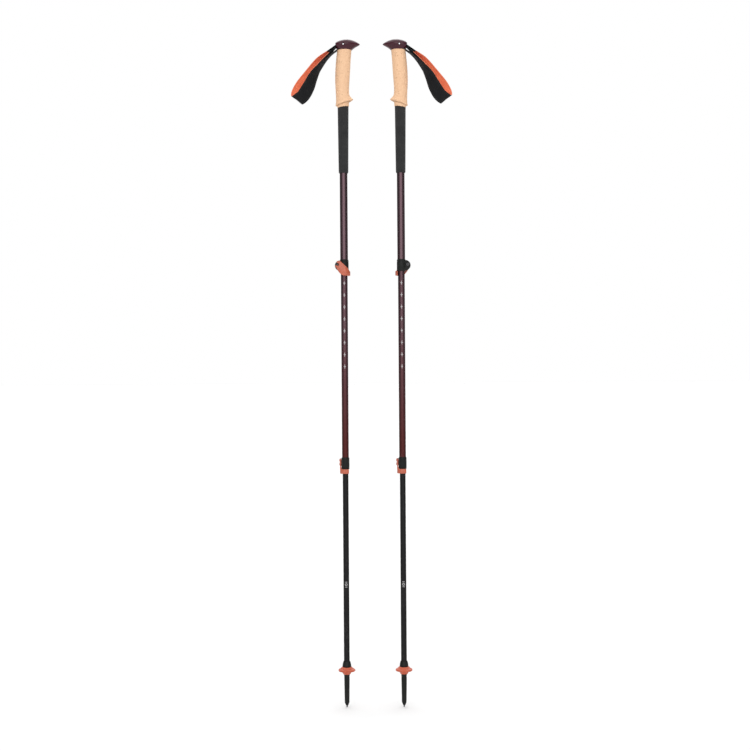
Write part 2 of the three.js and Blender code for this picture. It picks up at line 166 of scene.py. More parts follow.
# %% A lathe made of extrusions
def turned(name, profile, sides=64, hollow=False, x=LEFT):
    (radius, height), *rest = profile
    piece = start(
        name,
        bpy.ops.mesh.primitive_circle_add,
        vertices=sides,
        radius=radius * MM,
        fill_type="NOTHING" if hollow else "NGON",
        location=(x, 0, height * MM),
    )
    edit(piece)
    for next_radius, next_height in rest:
        step = (0, 0, (next_height - height) * MM)
        bpy.ops.mesh.extrude_region_move(TRANSFORM_OT_translate={"value": step})
        ratio = next_radius / radius
        bpy.ops.transform.resize(value=(ratio, ratio, 1), center_override=(x, 0, next_height * MM))
        radius, height = next_radius, next_height
    if hollow:
        bpy.ops.mesh.select_all(action="DESELECT")
        bpy.ops.mesh.select_non_manifold()
        bpy.ops.mesh.bridge_edge_loops()
    done()
    return piece


def cutter(size, centre, bevel=0.0):
    """A box to carve with, in millimetres from the left pole's axis."""
    place = (LEFT + centre[0] * MM, centre[1] * MM, centre[2] * MM)
    box = start("cutter", bpy.ops.mesh.primitive_cube_add, size=1, location=place)
    edit(box)
    bpy.ops.transform.resize(value=[s * MM for s in size], center_override=place)
    if bevel:
        bpy.ops.mesh.bevel(offset=bevel * MM, segments=3)
    done()
    return box


# %% [markdown]
# ## Handing a piece over
# A finished piece is named, gets its material, rides on its body, stands for the imported nodes that it
# replaces, and is copied for the right pole. A piece of the strap rides on no body instead: its place
# is only baked into its mesh.


# %% Left piece and right copy
def pair(piece, part, body, finish, stands_for=(), twin=MOVED, bends=None):
    for material in finish if isinstance(finish, tuple) else (finish,):
        piece.data.materials.append(material)
    mate = piece.copy()
    mate.data = piece.data.copy()
    mate.data.transform(twin)
    if twin.determinant() < 0:
        mate.data.flip_normals()
    bpy.context.collection.objects.link(mate)
    for side, each in zip(SIDES, (piece, mate)):
        each.name = f"{side}_{part}"
        if bends:
            held, free = ((LEFT + x * MM, 0, z * MM) for x, z in bends)
            if side == "right":
                held, free = (twin @ Vector(held), twin @ Vector(free))
            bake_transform(each)
        else:
            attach(each, f"{side}_{body}")
        if stands_for:
            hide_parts(*(f"{side}_{node}" for node in stands_for))
    return piece, mate


# %% [markdown]
# ## Building materials
# A material is a small tree of nodes. One helper adds a node and fills its sockets, each with a
# number or with another node's output. Three more add a sum, a mix of two colours, and a range
# stretched to another range. The last starts a shared effect: a group with named sockets, built once
# and placed in every material that needs it.


# %% Node helpers
def node(tree, kind, sockets=None, **settings):
    made = tree.nodes.new(kind)
    for key, value in settings.items():
        setattr(made, key, value)
    for key, value in (sockets or {}).items():
        if isinstance(value, bpy.types.NodeSocket):
            tree.links.new(value, made.inputs[key])
        else:
            made.inputs[key].default_value = value
    return made


def calc(tree, operation, *terms):
    return node(tree, "ShaderNodeMath", dict(enumerate(terms)), operation=operation).outputs[0]


def blend_colours(tree, factor, first, second):
    mix = node(tree, "ShaderNodeMix", data_type="RGBA")
    for key, value in (("Factor", factor), ("A", first), ("B", second)):
        socket = next(s for s in mix.inputs if s.name == key and s.enabled)
        if isinstance(value, bpy.types.NodeSocket):
            tree.links.new(value, socket)
        else:
            socket.default_value = value
    return next(s for s in mix.outputs if s.enabled)


def spread(tree, value, low, high, to_low=0.0, to_high=1.0):
    sockets = {"Value": value, "From Min": low, "From Max": high, "To Min": to_low, "To Max": to_high}
    return node(tree, "ShaderNodeMapRange", sockets, clamp=True).outputs[0]


def shared_effect(name, inputs, outputs):
    tree = bpy.data.node_groups.new(name, "ShaderNodeTree")
    for label, kind, default in inputs:
        socket = tree.interface.new_socket(label, in_out="INPUT", socket_type=f"NodeSocket{kind}")
        if default is not None:
            socket.default_value = default
    for label, kind in outputs:
        tree.interface.new_socket(label, in_out="OUTPUT", socket_type=f"NodeSocket{kind}")
    return tree, tree.nodes.new("NodeGroupInput").outputs, tree.nodes.new("NodeGroupOutput").inputs


# %% [markdown]
# ## Shared effects
# Moulded skin is the fine grain of a steel mould, with a slow change of sheen where hands have
# polished it. Drift makes a colour wander a little, as dye, anodising and cork all do. Scuffs are the
# short scratches that run along anything pushed into rock and bags.

# %% Moulded skin
SKIN, skin_in, skin_out = shared_effect(
    "Moulded skin",
    [("Vector", "Vector", None), ("Grain", "Float", 2500.0), ("Low", "Float", 0.35), ("High", "Float", 0.5)],
    [("Roughness", "Float"), ("Height", "Float")],
)
grain = node(SKIN, "ShaderNodeTexVoronoi", {"Vector": skin_in["Vector"], "Scale": skin_in["Grain"]})
polish = node(SKIN, "ShaderNodeTexNoise", {"Vector": skin_in["Vector"], "Scale": 90.0, "Detail": 3.0})
sheen = spread(SKIN, polish.outputs["Fac"], 0.35, 0.65, skin_in["Low"], skin_in["High"])
SKIN.links.new(sheen, skin_out["Roughness"])
SKIN.links.new(grain.outputs["Distance"], skin_out["Height"])

# %% Drift
DRIFT, drift_in, drift_out = shared_effect(
    "Drift",
    [
        ("Vector", "Vector", None),
        ("Scale", "Float", 60.0),
        ("First", "Color", (0.1, 0.1, 0.1, 1)),
        ("Second", "Color", (0.2, 0.2, 0.2, 1)),
    ],
    [("Color", "Color")],
)
wander = node(
    DRIFT,
    "ShaderNodeTexNoise",
    {"Vector": drift_in["Vector"], "Scale": drift_in["Scale"], "Detail": 4.0},
)
share = spread(DRIFT, wander.outputs["Fac"], 0.3, 0.7)
DRIFT.links.new(blend_colours(DRIFT, share, drift_in["First"], drift_in["Second"]), drift_out["Color"])

# %% Scuffs
SCUFFS, scuff_in, scuff_out = shared_effect(
    "Scuffs",
    [
        ("Vector", "Vector", None),
        ("Amount", "Float", 0.3),
        ("Color", "Color", (0.1, 0.1, 0.1, 1)),
        ("Worn", "Color", (0.4, 0.4, 0.4, 1)),
        ("Roughness", "Float", 0.3),
    ],
    [("Color", "Color"), ("Roughness", "Float")],
)
SCRATCH_STRETCH = (2600.0, 2600.0, 190.0)
SCRATCH_EDGE = (0.62, 0.72)
PATCH_EDGE = (0.5, 0.66)
SCRATCH_ROUGHER = 0.35
along = node(SCUFFS, "ShaderNodeMapping", {"Vector": scuff_in["Vector"], "Scale": SCRATCH_STRETCH})
scratch = node(SCUFFS, "ShaderNodeTexNoise", {"Vector": along.outputs[0], "Scale": 1.0, "Detail": 2.0})
patches = node(SCUFFS, "ShaderNodeTexNoise", {"Vector": scuff_in["Vector"], "Scale": 24.0, "Detail": 3.0})
marked = calc(
    SCUFFS,
    "MULTIPLY",
    spread(SCUFFS, scratch.outputs["Fac"], *SCRATCH_EDGE),
    spread(SCUFFS, patches.outputs["Fac"], *PATCH_EDGE),
)
worn = calc(SCUFFS, "MULTIPLY", marked, scuff_in["Amount"])
SCUFFS.links.new(blend_colours(SCUFFS, worn, scuff_in["Color"], scuff_in["Worn"]), scuff_out["Color"])
rougher = calc(SCUFFS, "ADD", scuff_in["Roughness"], calc(SCUFFS, "MULTIPLY", worn, SCRATCH_ROUGHER))
SCUFFS.links.new(rougher, scuff_out["Roughness"])
print("shared effects:", [g.name for g in bpy.data.node_groups])


# %% [markdown]
# ## Starting a material
# A finish starts from the shader's own constants, such as its metal, coat and sheen, and from the
# coordinates that its patterns follow. Object coordinates suit hard pieces, because a pattern then has
# its real size and shows no seam. Height becomes bump, since such fine relief would need too many
# faces.


# %% A new material and its coordinates
def new_material(name, coordinates="Object", **constants):
    material = bpy.data.materials.new(name)
    material.use_nodes = True
    tree = material.node_tree
    shader = tree.nodes["Principled BSDF"]
    for label, value in constants.items():
        shader.inputs[label.replace("_", " ")].default_value = value
    where = tree.nodes.new("ShaderNodeTexCoord").outputs[coordinates]
    return material, tree, shader, where


def raise_surface(tree, shader, height, strength, distance):
    bump = node(tree, "ShaderNodeBump", {"Height": height, "Strength": strength, "Distance": distance})
    tree.links.new(bump.outputs[0], shader.inputs["Normal"])


def wire(tree, source, shader, label):
    tree.links.new(source, shader.inputs[label])


def effect(tree, group, **sockets):
    return node(tree, "ShaderNodeGroup", sockets, node_tree=group).outputs


def drift(tree, where, scale, first, second):
    return effect(tree, DRIFT, Vector=where, Scale=scale, First=(*first, 1), Second=(*second, 1))["Color"]


# %% [markdown]
# ## Plastics and levers
# The head is glossy and plum, the locks and ferrules are black nylon, the baskets are orange nylon
# and the levers are orange coated alloy. They could each be one flat colour, but then they would look
# like toys. They share the moulded skin, the drift and the scuffs, each with its own values, so they
# age alike but never look the same.


# %% Moulded plastics
def moulded(name, first, second, low, high, grain_scale=2500.0, bump=0.15, scuffed=0.25, **constants):
    material, tree, shader, where = new_material(name, **constants)
    colour = drift(tree, where, 55.0, first, second)
    skin = effect(tree, SKIN, Vector=where, Grain=grain_scale, Low=low, High=high)
    paler = tuple(min(1.0, c * 1.6 + 0.06) for c in first)
    scuffs = effect(
        tree,
        SCUFFS,
        Vector=where,
        Amount=scuffed,
        Color=colour,
        Worn=(*paler, 1),
        Roughness=skin["Roughness"],
    )
    wire(tree, scuffs["Color"], shader, "Base Color")
    wire(tree, scuffs["Roughness"], shader, "Roughness")
    raise_surface(tree, shader, skin["Height"], bump, 0.0001)
    return material


PLUM = moulded(
    "Plum head",
    first=(0.05, 0.005, 0.014),
    second=(0.04, 0.004, 0.011),
    low=0.3,
    high=0.4,
    bump=0.05,
    scuffed=0.12,
    Specular_IOR_Level=0.1,
    Coat_Weight=0.5,
    Coat_Roughness=0.12,
)
NYLON = moulded(
    "Black nylon",
    first=(0.014, 0.015, 0.014),
    second=(0.009, 0.01, 0.009),
    low=0.36,
    high=0.5,
    scuffed=0.15,
    Specular_IOR_Level=0.13,
)
ORANGE_NYLON = moulded(
    "Orange nylon",
    first=(0.52, 0.105, 0.05),
    second=(0.44, 0.082, 0.04),
    low=0.36,
    high=0.5,
    scuffed=0.25,
    Specular_IOR_Level=0.3,
)
ORANGE_ALLOY = moulded(
    "Orange lever",
    first=(0.5, 0.12, 0.065),
    second=(0.42, 0.095, 0.05),
    low=0.25,
    high=0.36,
    grain_scale=4200.0,
    bump=0.08,
    scuffed=0.4,
    Specular_IOR_Level=0.35,
    Coat_Weight=0.2,
)
print("moulded:", [m.name for m in (PLUM, NYLON, ORANGE_NYLON, ORANGE_ALLOY)])

# %% [markdown]
# ## Foam
# Closed-cell foam is a mass of tiny bubbles cut open at the surface. Plain noise would give it soft
# clouds, but Voronoi cells at two sizes give round pits. The pits are painted darker, as shade in
# them, so the colour is a little lighter on the skin between them.

# %% Foam
FOAM, tree, shader, where = new_material(
    "Foam",
    Specular_IOR_Level=0.15,
    Sheen_Weight=0.06,
    Sheen_Roughness=0.6,
)
# Painted shade at the bottom of the foam's pits.
PIT_SHADE = (0.012, 0.012, 0.012, 1)
cells = node(tree, "ShaderNodeTexVoronoi", {"Vector": where, "Scale": 1500.0})
pores = node(tree, "ShaderNodeTexVoronoi", {"Vector": where, "Scale": 620.0})
small_pit = spread(tree, cells.outputs["Distance"], 0.0, 0.3)
large_pit = spread(tree, pores.outputs["Distance"], 0.0, 0.28)
pit = calc(tree, "MULTIPLY", large_pit, small_pit)
tone = drift(tree, where, 70.0, (0.022, 0.022, 0.0225), (0.032, 0.032, 0.0325))
wire(tree, blend_colours(tree, pit, PIT_SHADE, tone), shader, "Base Color")
wire(tree, spread(tree, cells.outputs["Distance"], 0.0, 0.5, 0.72, 0.86), shader, "Roughness")
raise_surface(tree, shader, pit, 0.35, 0.0003)

# %% [markdown]
# ## Cork
# A cork grip is pressed from granules of bark one to three millimetres across. Each Voronoi cell
# takes its own tone, a finer grain breaks up the cells, thin dark joints show between them, and a few
# cells are the dark bark specks that every cork has. Straight cells look like cut stone, so a noise
# pushes them about first. Under the grip's lip a darker band is painted as shade; it follows the
# crease there and slopes with it.

# %% Cork
GRANULES = 520.0
GRANULE_WARP = 0.0022
BARK = (0.3, 0.15, 0.07, 1)
JOINT = (0.42, 0.23, 0.11, 1)
# The brown of the painted shade under the lip's crease.
CREASE_SHADE = (0.3, 0.155, 0.08, 1)
CREASE_LEVEL, CREASE_SLOPE = 1.2662, 0.34
CORK, tree, shader, where = new_material("Cork", Specular_IOR_Level=0.35)
drifted = node(tree, "ShaderNodeTexNoise", {"Vector": where, "Scale": 300.0, "Detail": 2.0})
shifted = node(tree, "ShaderNodeMix", data_type="VECTOR")
shifted_in = [s for s in shifted.inputs if s.enabled]
shifted_in[0].default_value = GRANULE_WARP
tree.links.new(where, shifted_in[1])
tree.links.new(drifted.outputs["Color"], shifted_in[2])
shifted_out = next(s for s in shifted.outputs if s.enabled)
granule_places = {"Vector": shifted_out, "Scale": GRANULES}
granules = node(tree, "ShaderNodeTexVoronoi", granule_places)
joints = node(tree, "ShaderNodeTexVoronoi", granule_places, feature="DISTANCE_TO_EDGE")
own_tone = node(tree, "ShaderNodeSeparateColor", {"Color": granules.outputs["Color"]})
fine = node(tree, "ShaderNodeTexNoise", {"Vector": where, "Scale": 1900.0, "Detail": 3.0})
pale = blend_colours(tree, own_tone.outputs[0], (0.8, 0.5, 0.305, 1), (0.87, 0.575, 0.365, 1))
fine_share = spread(tree, fine.outputs["Fac"], 0.35, 0.7, 0.0, 0.25)
grained = blend_colours(tree, fine_share, pale, (0.66, 0.4, 0.225, 1))
specks = spread(tree, own_tone.outputs[1], 0.965, 0.975, 0.0, 0.4)
specked = blend_colours(tree, specks, grained, BARK)
joint_line = spread(tree, joints.outputs["Distance"], 0.0, 0.06, 0.25, 0.0)
jointed = blend_colours(tree, joint_line, specked, JOINT)
place = node(tree, "ShaderNodeSeparateXYZ", {"Vector": where}).outputs
forward = calc(tree, "SUBTRACT", abs(LEFT), calc(tree, "ABSOLUTE", place["X"]))
level = calc(tree, "SUBTRACT", place["Z"], calc(tree, "MULTIPLY", forward, CREASE_SLOPE))
from_crease = calc(tree, "ABSOLUTE", calc(tree, "SUBTRACT", level, CREASE_LEVEL))
# Painted shade: a darker band along the crease under the grip's lip.
painted_crease_shade = spread(tree, from_crease, 0.0002, 0.0017, 0.6, 0.0)
wire(tree, blend_colours(tree, painted_crease_shade, jointed, CREASE_SHADE), shader, "Base Color")
wire(tree, spread(tree, fine.outputs["Fac"], 0.3, 0.7, 0.62, 0.8), shader, "Roughness")
domes = spread(tree, joints.outputs["Distance"], 0.0, 0.12)
relief = calc(tree, "ADD", domes, calc(tree, "MULTIPLY", fine.outputs["Fac"], 0.5))
raise_surface(tree, shader, relief, 0.12, 0.0002)
print("soft grip materials:", FOAM.name, CORK.name)

# %% [markdown]
# ## Anodised finish
# The tubes are drawn aluminium, anodised. Drawing leaves faint lines along them, and sliding one
# tube in another leaves longer scratches. The middle tube's dye warms from dark plum at the top to
# red-brown at the bottom. Small white ticks on its front, 25 mm apart, show how far it is drawn out;
# the lower tube has one mark, a ring between two dashes, that says stop. The marks could be raised
# shapes, but paint has no thickness, so they are masks made from each point's height and from its
# distance beside the axis.

# %% Tick marks, in millimetres
STEM = (0.5, 4.2)
ARMS = (2.2, 0.6)
DASH = (2.4, 0.5)
DASH_FROM_RING = 5.2
RING_RADIUS, RING_HALF = 2.1, 0.5


def bar_mask(tree, across, up, half_width, half_height):
    inside_x = calc(tree, "LESS_THAN", calc(tree, "ABSOLUTE", across), half_width * MM)
    inside_z = calc(tree, "LESS_THAN", calc(tree, "ABSOLUTE", up), half_height * MM)
    return calc(tree, "MULTIPLY", inside_x, inside_z)


def front_places(tree, where):
    place = node(tree, "ShaderNodeSeparateXYZ", {"Vector": where}).outputs
    across = calc(tree, "SUBTRACT", calc(tree, "ABSOLUTE", place["X"]), abs(LEFT))
    front = calc(tree, "LESS_THAN", place["Y"], 0.0)
    return across, front, place["Z"]


def scale_ticks(tree, where, first, last, pitch):
    across, front, height = front_places(tree, where)
    start_height = (first - pitch / 2) * MM
    from_first = calc(tree, "DIVIDE", calc(tree, "SUBTRACT", height, start_height), pitch * MM)
    from_middle = calc(tree, "SUBTRACT", calc(tree, "FRACT", from_first), 0.5)
    up = calc(tree, "MULTIPLY", from_middle, pitch * MM)
    stem = bar_mask(tree, across, up, *STEM)
    arms = bar_mask(tree, across, up, *ARMS)
    tick = calc(tree, "MAXIMUM", stem, arms)
    above = calc(tree, "GREATER_THAN", height, start_height)
    below = calc(tree, "LESS_THAN", height, (last + pitch / 2) * MM)
    in_scale = calc(tree, "MULTIPLY", above, below)
    return calc(tree, "MULTIPLY", calc(tree, "MULTIPLY", tick, front), in_scale)


def stop_mark(tree, where, level):
    across, front, height = front_places(tree, where)
    up = calc(tree, "SUBTRACT", height, level * MM)
    from_dash = calc(tree, "SUBTRACT", calc(tree, "ABSOLUTE", up), DASH_FROM_RING * MM)
    dashes = bar_mask(tree, across, from_dash, *DASH)
    squares = [calc(tree, "MULTIPLY", side, side) for side in (across, up)]
    reach = calc(tree, "SQRT", calc(tree, "ADD", *squares))
    from_ring = calc(tree, "ABSOLUTE", calc(tree, "SUBTRACT", reach, RING_RADIUS * MM))
    ring = calc(tree, "LESS_THAN", from_ring, RING_HALF * MM)
    return calc(tree, "MULTIPLY", calc(tree, "MAXIMUM", dashes, ring), front)


# %% Anodised tubes
DRAWN_STRETCH = (2200.0, 2200.0, 14.0)
DRAWN_DARK = (0.01, 0.008, 0.009, 1)
BARE_SCRATCH = (0.35, 0.33, 0.33, 1)
MARK_WHITE = (0.5, 0.49, 0.49, 1)
MARK_ROUGHNESS = 0.5
MARKED_METAL = 0.75


def anodised(name, top, bottom, levels, marks=None, roughness=0.25):
    """The dye runs from the top colour at the higher of the two levels to the bottom colour."""
    material, tree, shader, where = new_material(
        name,
        Metallic=0.8,
        Specular_IOR_Level=0.2,
        Specular_Tint=(0.2, 0.17, 0.18, 1),
    )
    height = node(tree, "ShaderNodeSeparateXYZ", {"Vector": where}).outputs["Z"]
    warmth = spread(tree, height, levels[1] * MM, levels[0] * MM)
    dyed = blend_colours(tree, warmth, (*top, 1), (*bottom, 1))
    drawn_out = node(tree, "ShaderNodeMapping", {"Vector": where, "Scale": DRAWN_STRETCH})
    lines = node(tree, "ShaderNodeTexNoise", {"Vector": drawn_out.outputs[0], "Scale": 1.0, "Detail": 2.0})
    line_share = spread(tree, lines.outputs["Fac"], 0.35, 0.65, 0.0, 0.25)
    shaded = blend_colours(tree, line_share, dyed, DRAWN_DARK)
    scuffs = effect(
        tree,
        SCUFFS,
        Vector=where,
        Amount=0.3,
        Color=shaded,
        Worn=BARE_SCRATCH,
        Roughness=roughness,
    )
    colour, rough = scuffs["Color"], scuffs["Roughness"]
    if marks:
        mask = marks(tree, where)
        colour = blend_colours(tree, mask, colour, MARK_WHITE)
        rough = calc(tree, "MAXIMUM", rough, calc(tree, "MULTIPLY", mask, MARK_ROUGHNESS))
        paint = calc(tree, "MULTIPLY", mask, MARKED_METAL)
        wire(tree, calc(tree, "SUBTRACT", MARKED_METAL, paint), shader, "Metallic")
    wire(tree, colour, shader, "Base Color")
    wire(tree, rough, shader, "Roughness")
    raise_surface(tree, shader, lines.outputs["Fac"], 0.06, 0.0001)
    return material


PLUM_DYE = (0.12, 0.074, 0.086)
BLACK_DYE = (0.02, 0.02, 0.0205)
UPPER_TUBE = anodised("Plum anodised tube", PLUM_DYE, PLUM_DYE, levels=(900, 1400))
MIDDLE_TUBE = anodised(
    "Warming anodised tube",
    top=(0.1, 0.055, 0.064),
    bottom=(0.085, 0.022, 0.021),
    levels=(560, 800),
    marks=lambda tree, where: scale_ticks(tree, where, first=715, last=890, pitch=25),
)
LOWER_TUBE = anodised(
    "Black anodised tube",
    BLACK_DYE,
    BLACK_DYE,
    levels=(0, 100),
    marks=lambda tree, where: stop_mark(tree, where, level=258),
)
print("tube materials:", UPPER_TUBE.name, MIDDLE_TUBE.name, LOWER_TUBE.name)

# %% [markdown]
# ## Bare metal
# The strap rivets are zinc-plated steel, and the locks' bolts, plates and barrel nuts are blackened
# steel, so that they don't shine from the ear. The tip is sintered carbide, grey and granular. One
# recipe makes all three, since only their tone, roughness and grain differ.


# %% Bare metals
def bare_metal(name, first, second, roughness, grain_scale):
    material, tree, shader, where = new_material(name, Metallic=1.0)
    skin = effect(tree, SKIN, Vector=where, Grain=grain_scale, Low=roughness, High=roughness + 0.14)
    wire(tree, drift(tree, where, 400.0, first, second), shader, "Base Color")
    wire(tree, skin["Roughness"], shader, "Roughness")
    raise_surface(tree, shader, skin["Height"], 0.08, 0.00005)
    return material


STEEL = bare_metal("Zinc-plated steel", (0.85, 0.85, 0.86), (0.7, 0.7, 0.72), 0.25, 6000.0)
DARK_STEEL = bare_metal("Blackened steel", (0.07, 0.07, 0.072), (0.045, 0.045, 0.047), 0.3, 5000.0)
CARBIDE = bare_metal("Sintered carbide", (0.1, 0.1, 0.105), (0.06, 0.06, 0.065), 0.38, 9000.0)

# %% [markdown]
# ## Woven webbing and padded lining
# On cloth a pattern has to follow the surface, so it reads the strap's own UV map, in metres along
# the strap and across it. A weave of yarns about a millimetre wide is two sets of waves, each showing
# where it passes over the other. Stitches are short raised dashes in rows beside the edges.

# %% Weave
WEAVE, weave_in, weave_out = shared_effect(
    "Weave",
    [("Vector", "Vector", None), ("Yarn", "Float", 0.0009)],
    [("Height", "Float"), ("Shade", "Float")],
)
place = node(WEAVE, "ShaderNodeSeparateXYZ", {"Vector": weave_in["Vector"]}).outputs
steps = [calc(WEAVE, "DIVIDE", place[axis], weave_in["Yarn"]) for axis in ("X", "Y")]
waves = [calc(WEAVE, "ABSOLUTE", calc(WEAVE, "SINE", calc(WEAVE, "MULTIPLY", s, math.pi))) for s in steps]
cells_at = [calc(WEAVE, "FLOOR", s) for s in steps]
over = calc(WEAVE, "FLOORED_MODULO", calc(WEAVE, "ADD", *cells_at), 2.0)
warp = calc(WEAVE, "MULTIPLY", waves[0], over)
weft = calc(WEAVE, "MULTIPLY", waves[1], calc(WEAVE, "SUBTRACT", 1.0, over))
yarn_height = calc(WEAVE, "ADD", warp, weft)
WEAVE.links.new(yarn_height, weave_out["Height"])
WEAVE.links.new(spread(WEAVE, yarn_height, 0.0, 0.8, 0.55, 1.0), weave_out["Shade"])

# %% Stitches
STITCH, stitch_in, stitch_out = shared_effect(
    "Stitches",
    [("Vector", "Vector", None), ("Row", "Float", 0.0105), ("Length", "Float", 0.0032)],
    [("Mask", "Float")],
)
place = node(STITCH, "ShaderNodeSeparateXYZ", {"Vector": stitch_in["Vector"]}).outputs
from_middle = calc(STITCH, "ABSOLUTE", place["Y"])
beside = calc(STITCH, "ABSOLUTE", calc(STITCH, "SUBTRACT", from_middle, stitch_in["Row"]))
on_row = spread(STITCH, beside, 0.0003, 0.00055, 1.0, 0.0)
dash = calc(STITCH, "FRACT", calc(STITCH, "DIVIDE", place["X"], stitch_in["Length"]))
from_dash_middle = calc(STITCH, "ABSOLUTE", calc(STITCH, "SUBTRACT", dash, 0.5))
dashes = spread(STITCH, from_dash_middle, 0.3, 0.38, 1.0, 0.0)
STITCH.links.new(calc(STITCH, "MULTIPLY", on_row, dashes), stitch_out["Mask"])


# %% Strap fabrics
def fabric(name, first, second, thread, yarn, row, fuzz):
    material, tree, shader, where = new_material(
        name,
        "UV",
        Specular_IOR_Level=0.12,
        Sheen_Weight=fuzz,
        Sheen_Roughness=0.45,
    )
    weave = effect(tree, WEAVE, Vector=where, Yarn=yarn)
    stitches = effect(tree, STITCH, Vector=where, Row=row)["Mask"]
    dyed = drift(tree, where, 90.0, first, second)
    between_yarns = tuple(c * 0.65 for c in first)
    woven = blend_colours(tree, weave["Shade"], (*between_yarns, 1), dyed)
    sewn = blend_colours(tree, stitches, woven, (*thread, 1))
    wire(tree, sewn, shader, "Base Color")
    wire(tree, spread(tree, weave["Height"], 0.0, 1.0, 0.9, 0.68), shader, "Roughness")
    height = calc(tree, "ADD", weave["Height"], calc(tree, "MULTIPLY", stitches, 2.5))
    raise_surface(tree, shader, height, 0.25, 0.00012)
    return material


WEBBING = fabric(
    "Black webbing",
    first=(0.018, 0.018, 0.019),
    second=(0.012, 0.012, 0.013),
    thread=(0.03, 0.03, 0.032),
    yarn=0.0009,
    row=0.0082,
    fuzz=0.03,
)
SHELL = fabric(
    "Strap shell",
    first=(0.012, 0.012, 0.0135),
    second=(0.008, 0.008, 0.009),
    thread=(0.03, 0.03, 0.031),
    yarn=0.0011,
    row=0.0112,
    fuzz=0.03,
)
LINING = fabric(
    "Orange lining",
    first=(0.7, 0.17, 0.085),
    second=(0.82, 0.23, 0.115),
    thread=(0.5, 0.11, 0.055),
    yarn=0.0008,
    row=0.0112,
    fuzz=0.15,
)
print("fabrics:", WEBBING.name, SHELL.name, LINING.name)

# %% [markdown]
# ## Tubes
# A tube is a drawn pipe with its ends cut square and the burr taken off. Each is a lathe profile that
# runs up the outside, over a small rounded lip and down the bore.
# The lips matter: they are the only edges that a tube has, and a sharp one would look like paper.


# %% Three tubes
def tube(name, radius, low, high, wall=0.6, lip=0.18):
    bore = radius - wall
    outside = [(radius - lip, low), (radius, low + lip), (radius, high - lip), (radius - lip, high)]
    inside = [(bore + lip, high), (bore, high - lip), (bore, low + lip), (bore + lip, low)]
    piece = turned(name, outside + inside, sides=72, hollow=True)
    shade(piece, 40)
    return piece


for part, radius, body, finish, slot in (
    ("upper_tube", UPPER_R, "upper", UPPER_TUBE, "plum_anodised"),
    ("middle_tube", MIDDLE_R, "middle", MIDDLE_TUBE, "plum_anodised"),
    ("lower_tube", LOWER_R, "lower", LOWER_TUBE, "black_anodised"),
):
    drawn = tube(f"drawn_{part}", radius, *heights(f"left_{part}"))
    pair(drawn, f"drawn_{part}", body, finish, [part])

# %% [markdown]
# ## Oval shapes
# The head and the cork are not round: every level is an oval with its own front, rear and width, and
# some levels climb towards the front. The rings are stacked by the same extrusions as on the lathe,
# with a resize of its own for each side, and subdivision then rounds the whole.


# %% Stacking oval rings
def stacked(name, rings, sides=24):
    """Rings of (height, rear, front, half width, climb, and for a head point and blunt), in millimetres."""
    height, rear, front, half = rings[0][:4]
    centre = [LEFT + (rear + front) / 2 * MM, 0, height * MM]
    piece = start(
        name,
        bpy.ops.mesh.primitive_circle_add,
        vertices=sides,
        radius=MM,
        fill_type="NGON",
        location=centre,
    )
    edit(piece)
    size = [(front - rear) / 2, half]
    bpy.ops.transform.resize(value=(size[0], size[1], 1), center_override=centre)
    for height, rear, front, half, *_ in rings[1:]:
        place = [LEFT + (rear + front) / 2 * MM, 0, height * MM]
        step = [b - a for a, b in zip(centre, place)]
        bpy.ops.mesh.extrude_region_move(TRANSFORM_OT_translate={"value": step})
        fresh = [(front - rear) / 2, half]
        ratio = (fresh[0] / size[0], fresh[1] / size[1], 1)
        bpy.ops.transform.resize(value=ratio, center_override=place)
        centre, size = place, fresh
    done()
    for level, (height, rear, front, half, climb, *form) in enumerate(rings):
        point, blunt = form or (0, 1)
        for vertex in piece.data.vertices[level * sides : (level + 1) * sides]:
            out = (vertex.co.x - LEFT) / MM
            vertex.co.z += climb * out * MM
            ahead = (2 * out - rear - front) / (front - rear)
            side = vertex.co.y / MM / half
            power = blunt if ahead < 0 else 1
            vertex.co.y = math.copysign(abs(side) ** power, side) * half * MM * (1 - point * max(0, ahead))
    return piece


# %% [markdown]
# ## Cork grip
# The cork is 120 mm tall: waisted for the palm, wider under the head, and with a ledge at its foot
# that rises to a lip in front, where the edge of the hand rests. Rings crowd together at the ledge, so that
# the subdivided surface keeps a clear edge there. The bore lets the core sleeve through.

# %% Shaping the cork
CORE_BORE = 10.3
cork_low, cork_high = heights("left_cork_grip")
CORK_RINGS = [
    (1259.5, -11.2, 12.2, 11.6, 0.13),
    (1259.6, -11.4, 12.4, 11.8, 0.13),
    (1260.6, -12, 12.6, 12, 0.14),
    (1264.2, -13.1, 12.6, 12.2, 0.2),
    (1265.8, -13.2, 12.9, 12, 0.33),
    (1266.8, -14.2, 15, 12.6, 0.34),
    (1267.6, -16, 20.6, 15, 0.34),
    (1268.5, -16.2, 21.7, 15.4, 0.34),
    (1269.8, -15.7, 20.9, 15, 0.34),
    (1273.6, -15, 17.6, 14.3, 0.33),
    (1281.5, -14.7, 13.6, 13.4, 0.2),
    (1292, -15.4, 12.6, 13.2, 0),
    (1305, -16.1, 13.2, 13.6, 0),
    (1318, -16.6, 14.2, 14, 0),
    (1340, -15.8, 15.7, 13.8, 0),
    (1358, -14.3, 16.6, 13.2, 0),
    (1374, -12.4, 18.0, 12.7, 0),
    (1379, -12, 18.6, 12.6, 0),
    (1379.35, -11.9, 18.5, 12.5, 0),
    (1379.4, -11.7, 18.3, 12.3, 0),
]
cork = stacked("cork_body", CORK_RINGS)
modify(cork, "SUBSURF", levels=3, render_levels=3)
carve(cork, turned("bore", [(CORE_BORE, cork_low - 10), (CORE_BORE, cork_high + 10)], sides=72))
shade(cork, 50)
pair(cork, "cork_body", "upper", CORK, ["cork_grip"], MIRRORED)
print("cork from", round(cork_low, 1), "to", round(cork_high, 1))

# %% [markdown]
# ## Foam sleeve
# A long sleeve under the cork, for a hand that reaches down on a steep climb. It is a little wider at
# the top, with a rounded foot. It is turned in many short steps, and its top is cut on the slope of
# the cork's foot with a bisect, which also closes the cut.

